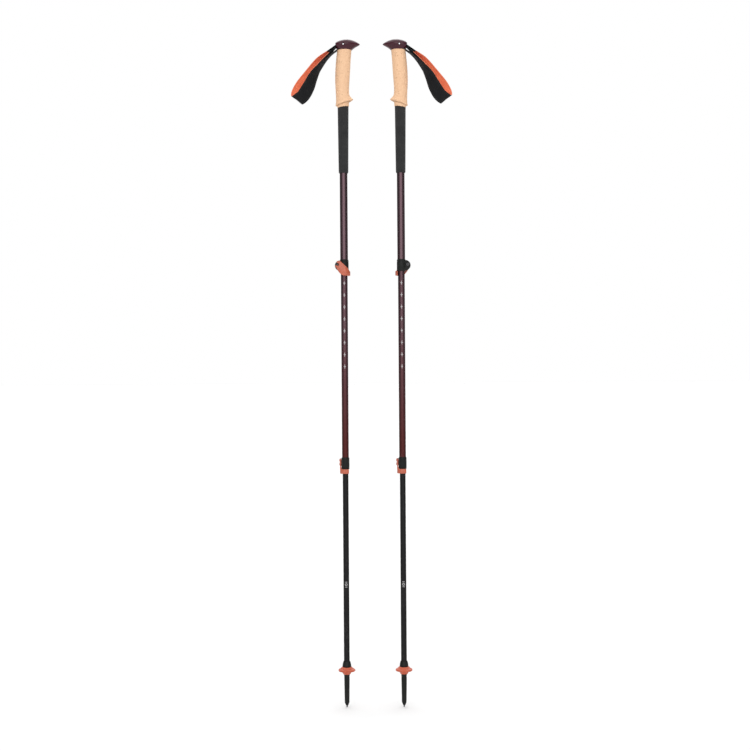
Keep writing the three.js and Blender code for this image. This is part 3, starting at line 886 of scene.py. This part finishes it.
# %% Turning and slicing the foam
FOAM_BORE, FOAM_RADIUS, FOAM_SPREAD, FOAM_STEPS = 8.3, 10.12, 1.38, 41
CUT_HEIGHT, CUT_NORMAL = 1259.25, (-0.129, 0, 0.992)
foam_low, foam_high = heights("left_foam_sleeve")
foam_foot = [(8.9, foam_low), (9.5, foam_low + 0.5), (9.9, foam_low + 1.5), (FOAM_RADIUS, foam_low + 3)]
foam_bore = [(FOAM_BORE, foam_high + 4), (FOAM_BORE, foam_low + 0.5)]
foam_wall = []
for step in range(1, FOAM_STEPS + 1):
    share = step / FOAM_STEPS
    radius = FOAM_RADIUS + FOAM_SPREAD * share
    foam_wall.append((radius, foam_low + 3 + (foam_high + 1 - foam_low) * share))
foam = turned("foam_body", foam_foot + foam_wall + foam_bore, sides=64, hollow=True)
edit(foam)
bpy.ops.mesh.bisect(
    plane_co=(LEFT, 0, CUT_HEIGHT * MM),
    plane_no=CUT_NORMAL,
    use_fill=True,
    clear_outer=True,
)
done()
shade(foam, 40)
pair(foam, "foam_body", "upper", FOAM, ["foam_sleeve"], MIRRORED)

# %% [markdown]
# ## Head
# The head is a smooth cap with a short beak over the forefinger side. The strap leaves through a wide
# mouth at its rear, and a rivet crosses it from side to side. The ovals are stacked, the beak is
# drawn in from both sides, subdivision rounds it, and the mouth and the rivet's hole are carved out
# last, so that their edges stay crisp.

# %% Shaping the head
HEAD_RINGS = [
    (1379.35, -10.2, 19.2, 12.2, 0, 0, 0.6),
    (1379.5, -10.6, 19.6, 12.5, 0, 0, 0.6),
    (1380.5, -11.2, 20.4, 12.9, 0, 0, 0.55),
    (1385, -15.2, 26.2, 15, 0, 0.1, 0.5),
    (1388.2, -16.5, 32.8, 16.4, 0, 0.3, 0.45),
    (1390.2, -16.8, 36.4, 16.7, 0, 0.38, 0.45),
    (1392.2, -16.5, 36.2, 16.6, 0, 0.38, 0.45),
    (1395.8, -14, 30.5, 15.2, 0, 0.3, 0.6),
    (1399.4, -7.5, 23, 11.2, 0, 0.1, 1),
    (1401.3, 0.5, 15, 5.5, 0, 0, 1),
    (1401.6, 5, 10.5, 2, 0, 0, 1),
]
head = stacked("head_cap", HEAD_RINGS, sides=32)
modify(head, "SUBSURF", levels=2, render_levels=2)
MOUTH_SIZE, MOUTH_MIDDLE = (30, 22, 8.3), (-7, 0, 1388.75)
TAIL_SLOT_SIZE, TAIL_SLOT_MIDDLE = (19, 21, 3.6), (-10.5, 0, 1379.8)
RIVET_HOLE, RIVET_RADIUS = 2.3, 2.0
carve(head, cutter(MOUTH_SIZE, MOUTH_MIDDLE, bevel=1.2))
carve(head, cutter(TAIL_SLOT_SIZE, TAIL_SLOT_MIDDLE))
pin_low, pin_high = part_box("left_strap_pin")
pin_middle = (pin_low + pin_high) / 2


def cross_rod(name, radius, length):
    return start(
        name,
        bpy.ops.mesh.primitive_cylinder_add,
        vertices=40,
        radius=radius * MM,
        depth=length,
        location=pin_middle,
        rotation=(math.pi / 2, 0, 0),
    )


carve(head, cross_rod("drill", RIVET_HOLE, 0.05))
round_edges(head, 0.35, 2, 50)
shade(head, 45)
pair(head, "head_cap", "upper", PLUM, ["head"], MIRRORED)

# %% [markdown]
# ## Strap rivet
# The rivet's two ends show as bright domes on the head's sides. A cylinder across the pole has its
# end faces inset and pushed out three times, less each time, and smooth shading rounds the steps.

# %% Doming the rivet
DOME_STEPS = ((0.35, 0.3), (0.6, 0.22), (0.6, 0.08))
both_domes = 2 * sum(lift for inset, lift in DOME_STEPS)
rivet = cross_rod("strap_rivet", RIVET_RADIUS, pin_high.y - pin_low.y - both_domes * MM)
for way in (-1, 1):
    edit(rivet, "DESELECT")
    bpy.ops.object.mode_set(mode="OBJECT")
    for face in rivet.data.polygons:
        face.select = face.normal.y * way > 0.9
    bpy.ops.object.mode_set(mode="EDIT")
    for inset, lift in DOME_STEPS:
        bpy.ops.mesh.inset(thickness=inset * MM)
        bpy.ops.transform.translate(value=(0, way * lift * MM, 0))
    done()
shade(rivet, 60)
pair(rivet, "strap_rivet", "upper", STEEL, ["strap_pin"], MIRRORED)

# %% [markdown]
# ## Wrist strap
# The strap is one band of padded webbing: out of the head's mouth, down the near side, round the
# bottom of the loop and back up the far side into the mouth. Its outside is black and its lining is
# orange. A route of points says where the middle of the band is, and how far its width has turned.
# Flat straps keep their stitches and edges only if they are laid directly, so the band is swept along
# the route: a cushion-shaped section, thin at the two ends and full round the wrist.

# %% The route, in millimetres from the pole's axis
ROUTE = [
    ((-12.5, 0, 1387.6), 0),
    ((-25, -1.5, 1374.5), 3),
    ((-39.5, -5, 1356), 11),
    ((-51.5, -10, 1339), 20),
    ((-62, -14.5, 1321), 42),
    ((-71.5, -17, 1300), 63),
    ((-83, -13, 1282), 80),
    ((-95.5, 0, 1276.5), 87),
    ((-96.5, 11, 1288), 82),
    ((-89, 15, 1305), 75),
    ((-70, 13, 1330), 58),
    ((-47, 7, 1359), 35),
    ((-28.2, 2, 1377.2), 9),
    ((-12.5, 0, 1390.1), 0),
]
STRAP_LAY = Vector((0.8, 0, -0.6))


def centripetal(points, place):
    """A smooth curve through the points: its place at a whole number is that point."""
    low = min(int(place), len(points) - 2)
    before = points[low - 1] if low else 2 * points[0] - points[1]
    after = points[low + 2] if low + 2 < len(points) else 2 * points[-1] - points[-2]
    p = (before, points[low], points[low + 1], after)
    knots = [0.0]
    for a, b in zip(p, p[1:]):
        knots.append(knots[-1] + (b - a).length ** 0.5)
    t = knots[1] + (knots[2] - knots[1]) * (place - low)
    for span in (1, 2):
        p = [a + (b - a) * ((t - k) / (m - k)) for a, b, k, m in zip(p, p[1:], knots, knots[span:])]
    return p[0] + (p[1] - p[0]) * ((t - knots[1]) / (knots[2] - knots[1]))


# %% Where the band's width points
def eased(value, low, high):
    share = min(1, max(0, (value - low) / (high - low)))
    return share * share * (3 - 2 * share)


def stations(route, steps, lay):
    points = [Vector(at) for at, _ in route]
    last = len(points) - 1
    made = []
    length = 0.0
    for step in range(steps + 1):
        place = last * step / steps
        low = min(int(place), last - 1)
        turn = math.radians(route[low][1] + (route[low + 1][1] - route[low][1]) * (place - low))
        here = centripetal(points, place)
        ahead = centripetal(points, min(last, place + 0.01)) - centripetal(points, max(0, place - 0.01))
        ahead.normalize()
        across = Vector((0, math.cos(turn), 0)) + lay * math.sin(turn)
        across = (across - ahead * across.dot(ahead)).normalized()
        length += (here - made[-1]["at"]).length if made else 0.0
        out = ahead.cross(across)
        made.append({"at": here, "across": across, "out": out, "place": place, "length": length})
    return made


# %% [markdown]
# ## The band's section
# Seen end on, the padding is a flat cushion: both faces are crowned, pinched along the two rows of
# stitches near the edges, and the edges are round. Round the tight bottom of the loop the lining is
# squeezed, so it gathers into small folds; the shell outside stays taut.


# %% The section's numbers: points around it, and millimetres
AROUND = 44
EDGE_ROUNDING, FACE_ROUNDING = 0.55, 0.6
PINCH_DEPTH, PINCH_WIDTH = 0.3, 0.9
CROWN = 0.2
FOLDS_BEGIN, FOLDS_FULL = 4.6, 6.2
FOLD_PACE, FOLD_STRAY = 1.5, 1.2


# %% Folds in the lining
def gathered(station, offset, side, last, folds):
    """How far the lining is lifted by its folds, which are strongest at the bottom of the loop."""
    bottom = eased(min(station["place"], last - station["place"]), FOLDS_BEGIN, FOLDS_FULL)
    stray = noise.noise(Vector((offset * 0.2, station["length"] * 0.1, 0)))
    wave = math.sin(station["length"] * FOLD_PACE + FOLD_STRAY * stray)
    return folds * bottom * wave * (1 - side**4)


# %% Sweeping the band
def band(name, route, steps, width, thickness, fullness, stitch_row=0.0, folds=0.0, lined_from=None):
    laid = stations(route, steps, STRAP_LAY)
    last = laid[-1]["place"]
    vertices, faces, places = [], [], []
    for station in laid:
        full = fullness(min(station["place"], last - station["place"]))
        half = (width[0] + (width[1] - width[0]) * full) / 2
        thick = (thickness[0] + (thickness[1] - thickness[0]) * full) / 2
        for k in range(AROUND):
            angle = 2 * math.pi * k / AROUND
            side = math.copysign(abs(math.cos(angle)) ** EDGE_ROUNDING, math.cos(angle))
            face = math.copysign(abs(math.sin(angle)) ** FACE_ROUNDING, math.sin(angle))
            offset = side * half
            row = abs(abs(offset) - stitch_row)
            pinch = 1 - PINCH_DEPTH * full * math.exp(-((row / PINCH_WIDTH) ** 2))
            crown = 1 - CROWN * side * side
            lift = face * thick * pinch * crown
            if face < 0:
                lift += gathered(station, offset, side, last, folds)
            point = station["at"] + station["across"] * offset + station["out"] * lift
            vertices.append((LEFT + point.x * MM, point.y * MM, point.z * MM))
            places.append((station["length"] * MM, offset * MM))
    for i in range(len(laid) - 1):
        for k in range(AROUND):
            a = i * AROUND + k
            b = i * AROUND + (k + 1) % AROUND
            faces.append((a, b, b + AROUND, a + AROUND))
    faces.append(tuple(reversed(range(AROUND))))
    faces.append(tuple(range(len(vertices) - AROUND, len(vertices))))
    mesh = bpy.data.meshes.new(name)
    mesh.from_pydata(vertices, [], faces)
    uv = mesh.uv_layers.new(name="Band")
    for loop in mesh.loops:
        uv.data[loop.index].uv = places[loop.vertex_index]
    for index, face in enumerate(mesh.polygons[:-2]):
        place = laid[index // AROUND]["place"]
        inside = index % AROUND >= AROUND / 2 - 1
        lined = lined_from is not None and lined_from < min(place, last - place)
        face.material_index = int(inside and lined)
    piece = bpy.data.objects.new(name, mesh)
    bpy.context.collection.objects.link(piece)
    edit(piece)
    done()
    print(name, "is", round(laid[-1]["length"]), "mm long")
    return piece, laid


# %% Shell outside, lining inside
STRAP_BENDS = ((-12.5, 1388), (-21, 1379.5))
strap, strap_stations = band(
    "padded_strap",
    ROUTE,
    steps=260,
    width=(19.6, 28),
    thickness=(1.8, 4.0),
    fullness=lambda from_end: eased(from_end, 0.3, 2.2),
    stitch_row=11.2,
    folds=0.22,
    lined_from=1.15,
)
modify(strap, "SUBSURF", levels=1, render_levels=1)
shade(strap, 60)
straps = pair(
    strap,
    "padded_strap",
    "strap",
    (SHELL, LINING),
    stands_for=["wrist_strap"],
    twin=MIRRORED,
    bends=STRAP_BENDS,
)

# %% [markdown]
# ## The adjusting tail
# The strap's length is set by a thin tail of plain webbing. It comes out from under the head, crosses
# a small gap and is sewn to the underside of the near strand, so its last points are taken from the
# strand itself, just below its padding. Like the strap, it rides on no body: its place is only baked
# into its mesh.

# %% Laying the tail
TAIL = [
    ((-6, 0, 1380.4), 0),
    ((-11, 0, 1379.9), 0),
    ((-14.2, 0, 1377.8), 0),
    ((-18.2, -0.3, 1374.9), 0),
    ((-23, -1, 1371.2), 2),
]
SEWN = ((1.5, 2.8, 5), (1.75, 2.5, 7), (2.0, 2.4, 9))
TAIL_BENDS = ((-11, 1380.5), (-20, 1373))
for place, below, turn in SEWN:
    sewn_at = min(strap_stations, key=lambda station: abs(station["place"] - place))
    TAIL.append((tuple(sewn_at["at"] + sewn_at["out"] * below), turn))
tail, _ = band(
    "webbing_tail",
    TAIL,
    steps=70,
    width=(19, 19),
    thickness=(1.1, 1.1),
    fullness=lambda from_end: 0,
)
shade(tail, 60)
pair(tail, "webbing_tail", "strap", WEBBING, ["strap_tail"], MIRRORED, TAIL_BENDS)

# %% [markdown]
# ## Lever lock
# A slit collar grips the inner tube when its ear is squeezed shut. A bolt crosses the ear; a cam
# lever pulls on the bolt's end. The collar and the ear are moulded as one, so they are made apart and
# joined with a union, then bored, slit and drilled, and every new edge gets a small bevel.

# %% Lock sizes, in millimetres from the pole's axis and the collar's foot
GAP = 0.3
COLLAR_WALL = 1.1
LEVER_GAP = 0.7
EAR_X, EAR_Z, EAR_RADIUS, EAR_HALF = -8.8, 12.4, 10.6, 4.2
EAR_TALLER = 1.02
SLIT_HALF = 0.6
BOLT_X, BOLT_Z = -13.3, 14
BOLT_HOLE, BOLT_POCKET, POCKET_DEPTH = 2.3, 3.8, 1.6
CAM_Y, CAM_LEAN, CAM_RADIUS = -9.4, 0.35, 4
BARREL_BORE = 2.75


def at_lock(foot, x=0.0, y=0.0, z=0.0):
    return Matrix.Translation((LEFT + x * MM, y * MM, (foot + z) * MM))


def on_bolt(foot):
    return at_lock(foot, BOLT_X, 0, BOLT_Z) @ Matrix.Rotation(math.pi / 2, 4, "X")


def on_cam(foot):
    return at_lock(foot, BOLT_X, CAM_Y, BOLT_Z) @ Matrix.Rotation(CAM_LEAN, 4, "Y")


def placed(piece, matrix):
    piece.data.transform(matrix)
    return piece


def rod(radius, low, high, matrix, sides=48):
    return placed(turned("rod", [(radius, low), (radius, high)], sides=sides, x=0), matrix)


def slab(low, high, matrix):
    """A box between two corners in millimetres, put in place by a matrix."""
    centre = [(a + b) / 2 * MM for a, b in zip(low, high)]
    box = start("slab", bpy.ops.mesh.primitive_cube_add, size=1, location=centre)
    edit(box)
    bpy.ops.transform.resize(value=[(b - a) * MM for a, b in zip(low, high)], center_override=centre)
    done()
    return placed(box, matrix)


# %% Housing
def housing(which, outer, inner, foot):
    body = outer + GAP + COLLAR_WALL
    collar = turned(
        f"{which}_housing",
        [
            (body - 0.8, foot),
            (body - 0.25, foot + 0.3),
            (body, foot + 1),
            (body, foot + 19.2),
            (body - 0.3, foot + 19.5),
            (body - 0.3, foot + 20.7),
            (body, foot + 21),
            (body, foot + 22.4),
            (body - 0.8, foot + 24.6),
            (body - 0.9, foot + 25),
        ],
        sides=72,
    )
    ear = rod(EAR_RADIUS, -EAR_HALF, EAR_HALF, Matrix.Identity(4), sides=72)
    round_edges(ear, 1.3, 4, 60)
    stood = Matrix.Diagonal((1, 1, EAR_TALLER, 1)) @ Matrix.Rotation(math.pi / 2, 4, "X")
    placed(ear, at_lock(foot, EAR_X, 0, EAR_Z) @ stood)
    carve(collar, ear, "UNION")
    narrow, wide = inner + GAP, outer + GAP
    bore = [(narrow, foot - 1), (narrow, foot + 3.5), (wide, foot + 3.5), (wide, foot + 26)]
    carve(collar, turned("bore", bore, sides=72))
    carve(collar, slab((-20.5, -SLIT_HALF, -1), (-inner + 1, SLIT_HALF, 26), at_lock(foot)))
    carve(collar, rod(BOLT_HOLE, -6, 6, on_bolt(foot)))
    carve(collar, rod(BOLT_POCKET, -6, -EAR_HALF + POCKET_DEPTH, on_bolt(foot)))
    round_edges(collar, 0.22, 2, 40)
    shade(collar, 40)
    return collar


# %% [markdown]
# ## Clamp bolt
# The bolt's head sits in its pocket at the back of the ear. It is turned with a chamfer under and
# over the head, and a six-sided hole for a key is carved into it; its end shows in the lever's notch.
# Nobody sees its thread, so it has none.


# %% Bolt
def clamp_bolt(which, foot):
    profile = [(3.1, -5.3), (3.5, -4.9), (3.5, -3.1), (3.3, -2.9), (2, -2.9), (2, 10.6), (1.6, 11)]
    bolt = turned(f"{which}_clamp_bolt", profile, sides=40, x=0)
    carve(bolt, rod(1.5, -6, -3.9, Matrix.Identity(4), sides=6))
    shade(placed(bolt, on_bolt(foot)), 35)
    return bolt


# %% [markdown]
# ## Cam lever
# The lever is a thick leaf that leaves the ear, wraps round the front of the collar and drops to a
# thumb tip. Its section is extruded along that line, moved, turned and resized at every step: the top
# edge falls in a straight line, more steeply on the lower lock, and the lower edge in a curve. A round
# cam is joined at its heel, with a bore for the barrel nut and a notch for the bolt.

# %% The leaf's numbers, in millimetres from the pole's axis and the collar's foot
LEAF_THICK, LEAF_STEPS = 2.6, 40
LEAF_WRAP = 2.3
LEAF_LOWEST, LEAF_RISE, LEAF_CURVE = -9.3, 20, 19
LEAF_TOP, LEAF_TIP = 22.4, 0.2
SLOPE_X, SLOPE_Z = -10.5, 24
HEEL_CUT = ((-20, -9, -20), (0, 9, 20))
BOLT_NOTCH = ((-14, -9, -2.7), (2.6, 9, 2.7))


# %% The leaf, step by step
def leaf(name, radius, foot, slope):
    first, last = BOLT_X - 5, radius * LEAF_WRAP
    piece = None
    for step in range(LEAF_STEPS + 1):
        distance = first + (last - first) * step / LEAF_STEPS
        bend = max(0.0, distance) / radius
        fall = min(1, (distance - first) / LEAF_CURVE)
        low = LEAF_LOWEST + LEAF_RISE * (1 - fall) ** 2
        high = max(LEAF_TIP, min(LEAF_TOP, SLOPE_Z - slope * (distance - SLOPE_X)))
        x = distance if distance < 0 else radius * math.sin(bend)
        place = [LEFT + x * MM, -radius * math.cos(bend) * MM, (foot + (low + high) / 2) * MM]
        if piece is None:
            upright = (0, math.pi / 2, 0)
            piece = start(name, bpy.ops.mesh.primitive_plane_add, size=1, location=place, rotation=upright)
            edit(piece)
            section = (1, LEAF_THICK * MM, (high - low) * MM)
            bpy.ops.transform.resize(value=section, center_override=place)
        else:
            shift = [b - a for a, b in zip(before, place)]
            bpy.ops.mesh.extrude_region_move(TRANSFORM_OT_translate={"value": shift})
            bpy.ops.transform.rotate(value=bent - bend, orient_axis="Z", center_override=place)
            bpy.ops.transform.resize(value=(1, 1, (high - low) / tall), center_override=place)
        before, bent, tall = place, bend, high - low
    done()
    return piece


# %% Leaf and cam together
def cam_lever(which, outer, foot, slope):
    radius = outer + GAP + COLLAR_WALL + LEVER_GAP + LEAF_THICK / 2
    lever = leaf(f"{which}_cam_lever", radius, foot, slope)
    round_edges(lever, 0.7, 3, 50)
    carve(lever, slab(*HEEL_CUT, on_cam(foot)))
    cam = rod(CAM_RADIUS, -7, 7, Matrix.Identity(4), sides=56)
    round_edges(cam, 0.5, 3, 60)
    carve(lever, placed(cam, on_cam(foot)), "UNION")
    carve(lever, rod(BARREL_BORE, -14, 14, on_cam(foot)))
    carve(lever, slab(*BOLT_NOTCH, on_cam(foot)))
    shade(lever, 35)
    return lever


# %% Both locks
UPPER_SLOPE, LOWER_SLOPE = 0.98, 1.4
QUARTER_BACK = at_lock(0) @ Matrix.Rotation(-math.pi / 2, 4, "Z") @ at_lock(0).inverted()
for which, outer, inner, slope, quarter, twin, holder in (
    ("upper", UPPER_R, MIDDLE_R, UPPER_SLOPE, Matrix.Identity(4), HALF_TURN, "upper"),
    ("lower", MIDDLE_R, LOWER_R, LOWER_SLOPE, QUARTER_BACK, MOVED, "middle"),
):
    foot = heights(f"left_{which}_lock_housing")[0]
    collar = housing(which, outer, inner, foot)
    bolt = clamp_bolt(which, foot)
    lever = cam_lever(which, outer, foot, slope)
    for piece, part, body, finish, slot, packed in (
        (collar, "collar", holder, NYLON, "black_nylon", "housing"),
        (bolt, "clamp_bolt", holder, DARK_STEEL, "steel", "bolt"),
        (lever, "cam_lever", f"{which}_lever", ORANGE_ALLOY, "orange_alloy", "lever"),
    ):
        placed(piece, quarter)
        pair(piece, f"{which}_{part}", body, finish, [f"{which}_lock_{packed}"], twin)

# %% [markdown]
# ## Ferrule
# The black ferrule closes the lower tube. From the top: a bell collar that stops the basket, the
# threaded seat under it, a neck, and a long taper to the tip. It is turned in one go. A real thread
# climbs as a spiral, but at this size it looks the same as the string of small ridges used here.

# %% Turning the ferrule
THREAD_CREST, THREAD_ROOT = 7.8, 7.45
THREAD_FROM, THREAD_STEP, THREAD_TURNS = 75.4, 0.7, 13
SOCKET_RADIUS, SOCKET_FLOOR = 6.3, 76.7
INSERT_HOLE, INSERT_DEPTH = 1.8, 18.3
TAPER = [(2.2, 4), (2.6, 4.3), (4.8, 9.5), (5.05, 12), (5.8, 62), (5.8, 63)]
NECK = [(5.55, 63.4), (5.55, 64.6), (5.85, 65), (6, 69), (7.4, 74.6)]
BELL_FOOT = [(7.8, 85), (8.9, 85.1), (9.2, 85.5), (9.2, 87)]
BELL = [(9.1, 88.4), (8.7, 91), (8, 94), (7.3, 96), (7.05, 96.6)]
thread = []
for step in range(THREAD_TURNS):
    radius = THREAD_CREST if step % 2 else THREAD_ROOT
    thread.append((radius, THREAD_FROM + step * THREAD_STEP))
ferrule = turned("taper_ferrule", TAPER + NECK + thread + BELL_FOOT + BELL, sides=72)
carve(ferrule, turned("socket", [(SOCKET_RADIUS, SOCKET_FLOOR), (SOCKET_RADIUS, 98)], sides=72))
carve(ferrule, turned("insert hole", [(INSERT_HOLE, 3), (INSERT_HOLE, INSERT_DEPTH)], sides=40))
shade(ferrule, 40)
pair(ferrule, "taper_ferrule", "lower", NYLON, ["ferrule"])

# %% [markdown]
# ## Basket
# The basket is a small dished disc on a hub. Its rim swells into lobes between notches, so that the
# basket flexes off rocks, and small holes let mud through. It is turned, then notches and holes are
# carved round it, one tool at a time.

# %% Turning and notching the basket
NOTCH_RADIUS, NOTCH_OUT = 2.1, 18.9
HOLE_RADIUS, HOLE_OUT = 1.2, 13.4
UNDERSIDE = [(6.65, 69.35), (7.5, 69.35), (7.9, 69.8), (8.6, 71.6), (10, 73.4), (12.2, 75.4), (14.2, 75.7)]
RIM = [(15.8, 75.5), (16.9, 75.8), (17.6, 76.7), (17.75, 77.8), (17.5, 78.9), (16.6, 79.8), (15.2, 80.3)]
TOP = [(13.6, 81.3), (11.8, 83.3), (10.9, 84.4), (10.4, 84.6), (8.6, 84.6)]
HUB_BORE = [(8.15, 84.2), (8.15, 76.2), (6.65, 70.2)]


def round_the_pole(sixths, out):
    """A place beside the pole's axis, some sixths of a turn round it."""
    turned_to = at_lock(0) @ Matrix.Rotation(math.pi * sixths / 3, 4, "Z")
    return turned_to @ Matrix.Translation((out * MM, 0, 0))


basket = turned("trail_basket", UNDERSIDE + RIM + TOP + HUB_BORE, sides=96, hollow=True)
for step in range(6):
    notch_place = round_the_pole(step + 0.5, NOTCH_OUT)
    carve(basket, rod(NOTCH_RADIUS, 60, 90, notch_place, sides=24))
    hole_place = round_the_pole(step, HOLE_OUT)
    carve(basket, rod(HOLE_RADIUS, 60, 90, hole_place, sides=20))
round_edges(basket, 0.3, 2, 45)
shade(basket, 40)
pair(basket, "trail_basket", "basket_ring", ORANGE_NYLON, ["basket"])

# %% [markdown]
# ## Hard tip
# The insert is a short rod of carbide with a hollow-ground end: a ring of small teeth that bite on
# rock. The profile starts a little inside the end, which dishes it, and six flutes are carved up the
# side.

# %% Grinding the tip
FLUTE_RADIUS, FLUTE_OUT, FLUTE_TOP = 0.35, 1.55, 3.2
DISHED_END = [(0.35, 0.5), (0.9, 0), (1.2, 0.05), (1.3, 1)]
SHANK = [(1.5, 1.6), (1.5, 17.6), (1.3, 18)]
insert = turned("fluted_insert", DISHED_END + SHANK, sides=36)
for step in range(6):
    flute_place = round_the_pole(step, FLUTE_OUT)
    carve(insert, rod(FLUTE_RADIUS, -1, FLUTE_TOP, flute_place, sides=16))
shade(insert, 35)
pair(insert, "fluted_insert", "lower", CARBIDE, ["carbide_tip"])

# %% [markdown]
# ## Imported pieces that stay
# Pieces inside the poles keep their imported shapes, which are already right: the guide bushes, the
# core sleeve, the lock's plate and barrel nut, and the strap's folded end and wedge. They only change
# their material.

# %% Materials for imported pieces
KEPT = {
    "middle_bush": NYLON,
    "lower_bush": NYLON,
    "grip_core": NYLON,
    "strap_wedge": NYLON,
    "strap_anchor": WEBBING,
    "upper_lock_plate": DARK_STEEL,
    "upper_lock_barrel": DARK_STEEL,
    "lower_lock_plate": DARK_STEEL,
    "lower_lock_barrel": DARK_STEEL,
}
for part, finish in KEPT.items():
    for side in SIDES:
        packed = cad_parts[f"{side}_{part}"]
        packed.data.materials.clear()
        packed.data.materials.append(finish)
print("packed pieces kept:", 2 * len(KEPT))

# %% [markdown]
# ## Floor, light and camera
# The poles stand on a plain pale floor, in a room of soft light: a broad light in front, one raised
# behind and one overhead, with dim sides. A glossy rod then shows one bright stripe with dark flanks.
# Lamps would leave a bright patch on the floor. The light is painted on the world by direction
# instead, so that it falls evenly on all of it, and the eye sees a white background.

# %% Floor
floor_material, tree, shader, where = new_material("Pale floor", Roughness=0.9, Specular_IOR_Level=0.1)
mottle = node(tree, "ShaderNodeTexNoise", {"Vector": where, "Scale": 3.0})
paper = blend_colours(tree, mottle.outputs["Fac"], (0.73, 0.73, 0.73, 1), (0.75, 0.75, 0.75, 1))
wire(tree, paper, shader, "Base Color")
floor = start("floor", bpy.ops.mesh.primitive_plane_add, size=200)
floor.data.materials.append(floor_material)

# %% Light by direction: each light's strength, and where it fades in
FRONT_LIGHT, BACK_LIGHT, TOP_LIGHT, ROOM_LIGHT = 2.3, 1.6, 1.5, 0.1
FRONT_FADE = (-0.72, -0.9)
BACK_FADE, BACK_RAISED = (0.3, 0.6), (0.15, 0.35)
TOP_FADE = (0.45, 0.8)
world = bpy.data.worlds.new("Studio")
bpy.context.scene.world = world
world.use_nodes = True
tree = world.node_tree
towards = tree.nodes.new("ShaderNodeTexCoord").outputs["Generated"]
way = node(tree, "ShaderNodeSeparateXYZ", {"Vector": towards}).outputs
front = spread(tree, way["Y"], *FRONT_FADE, 0.0, FRONT_LIGHT)
behind = spread(tree, way["Y"], *BACK_FADE, 0.0, BACK_LIGHT)
back = calc(tree, "MULTIPLY", behind, spread(tree, way["Z"], *BACK_RAISED))
above = spread(tree, way["Z"], *TOP_FADE, 0.0, TOP_LIGHT)
room = calc(tree, "ADD", calc(tree, "ADD", front, back), calc(tree, "ADD", above, ROOM_LIGHT))
felt = node(tree, "ShaderNodeBackground", {"Color": (1, 1, 1, 1), "Strength": room})
seen = node(tree, "ShaderNodeBackground", {"Color": (1, 1, 1, 1), "Strength": 1.0})
by_eye = tree.nodes.new("ShaderNodeLightPath").outputs["Is Camera Ray"]
either = node(tree, "ShaderNodeMixShader", {0: by_eye, 1: felt.outputs[0], 2: seen.outputs[0]})
tree.links.new(either.outputs[0], tree.nodes["World Output"].inputs["Surface"])
bpy.context.scene.view_settings.view_transform = "Standard"
print("lights, front, back, top and room:", FRONT_LIGHT, BACK_LIGHT, TOP_LIGHT, ROOM_LIGHT)

# %% Camera, in metres and degrees
DISTANCE, SEEN_WIDTH = 2.9, 1.575
CAMERA_X, CAMERA_HEIGHT, CAMERA_ROLL = 0.0032, 0.697, 0.39
camera_data = bpy.data.cameras.new("camera")
camera_data.lens = camera_data.sensor_width * DISTANCE / SEEN_WIDTH
camera = bpy.data.objects.new("camera", camera_data)
camera.location = (CAMERA_X, -DISTANCE, CAMERA_HEIGHT)
camera.rotation_euler = (math.pi / 2, math.radians(CAMERA_ROLL), 0)
bpy.context.collection.objects.link(camera)
bpy.context.scene.camera = camera
print("camera lens in mm:", round(camera_data.lens, 1))
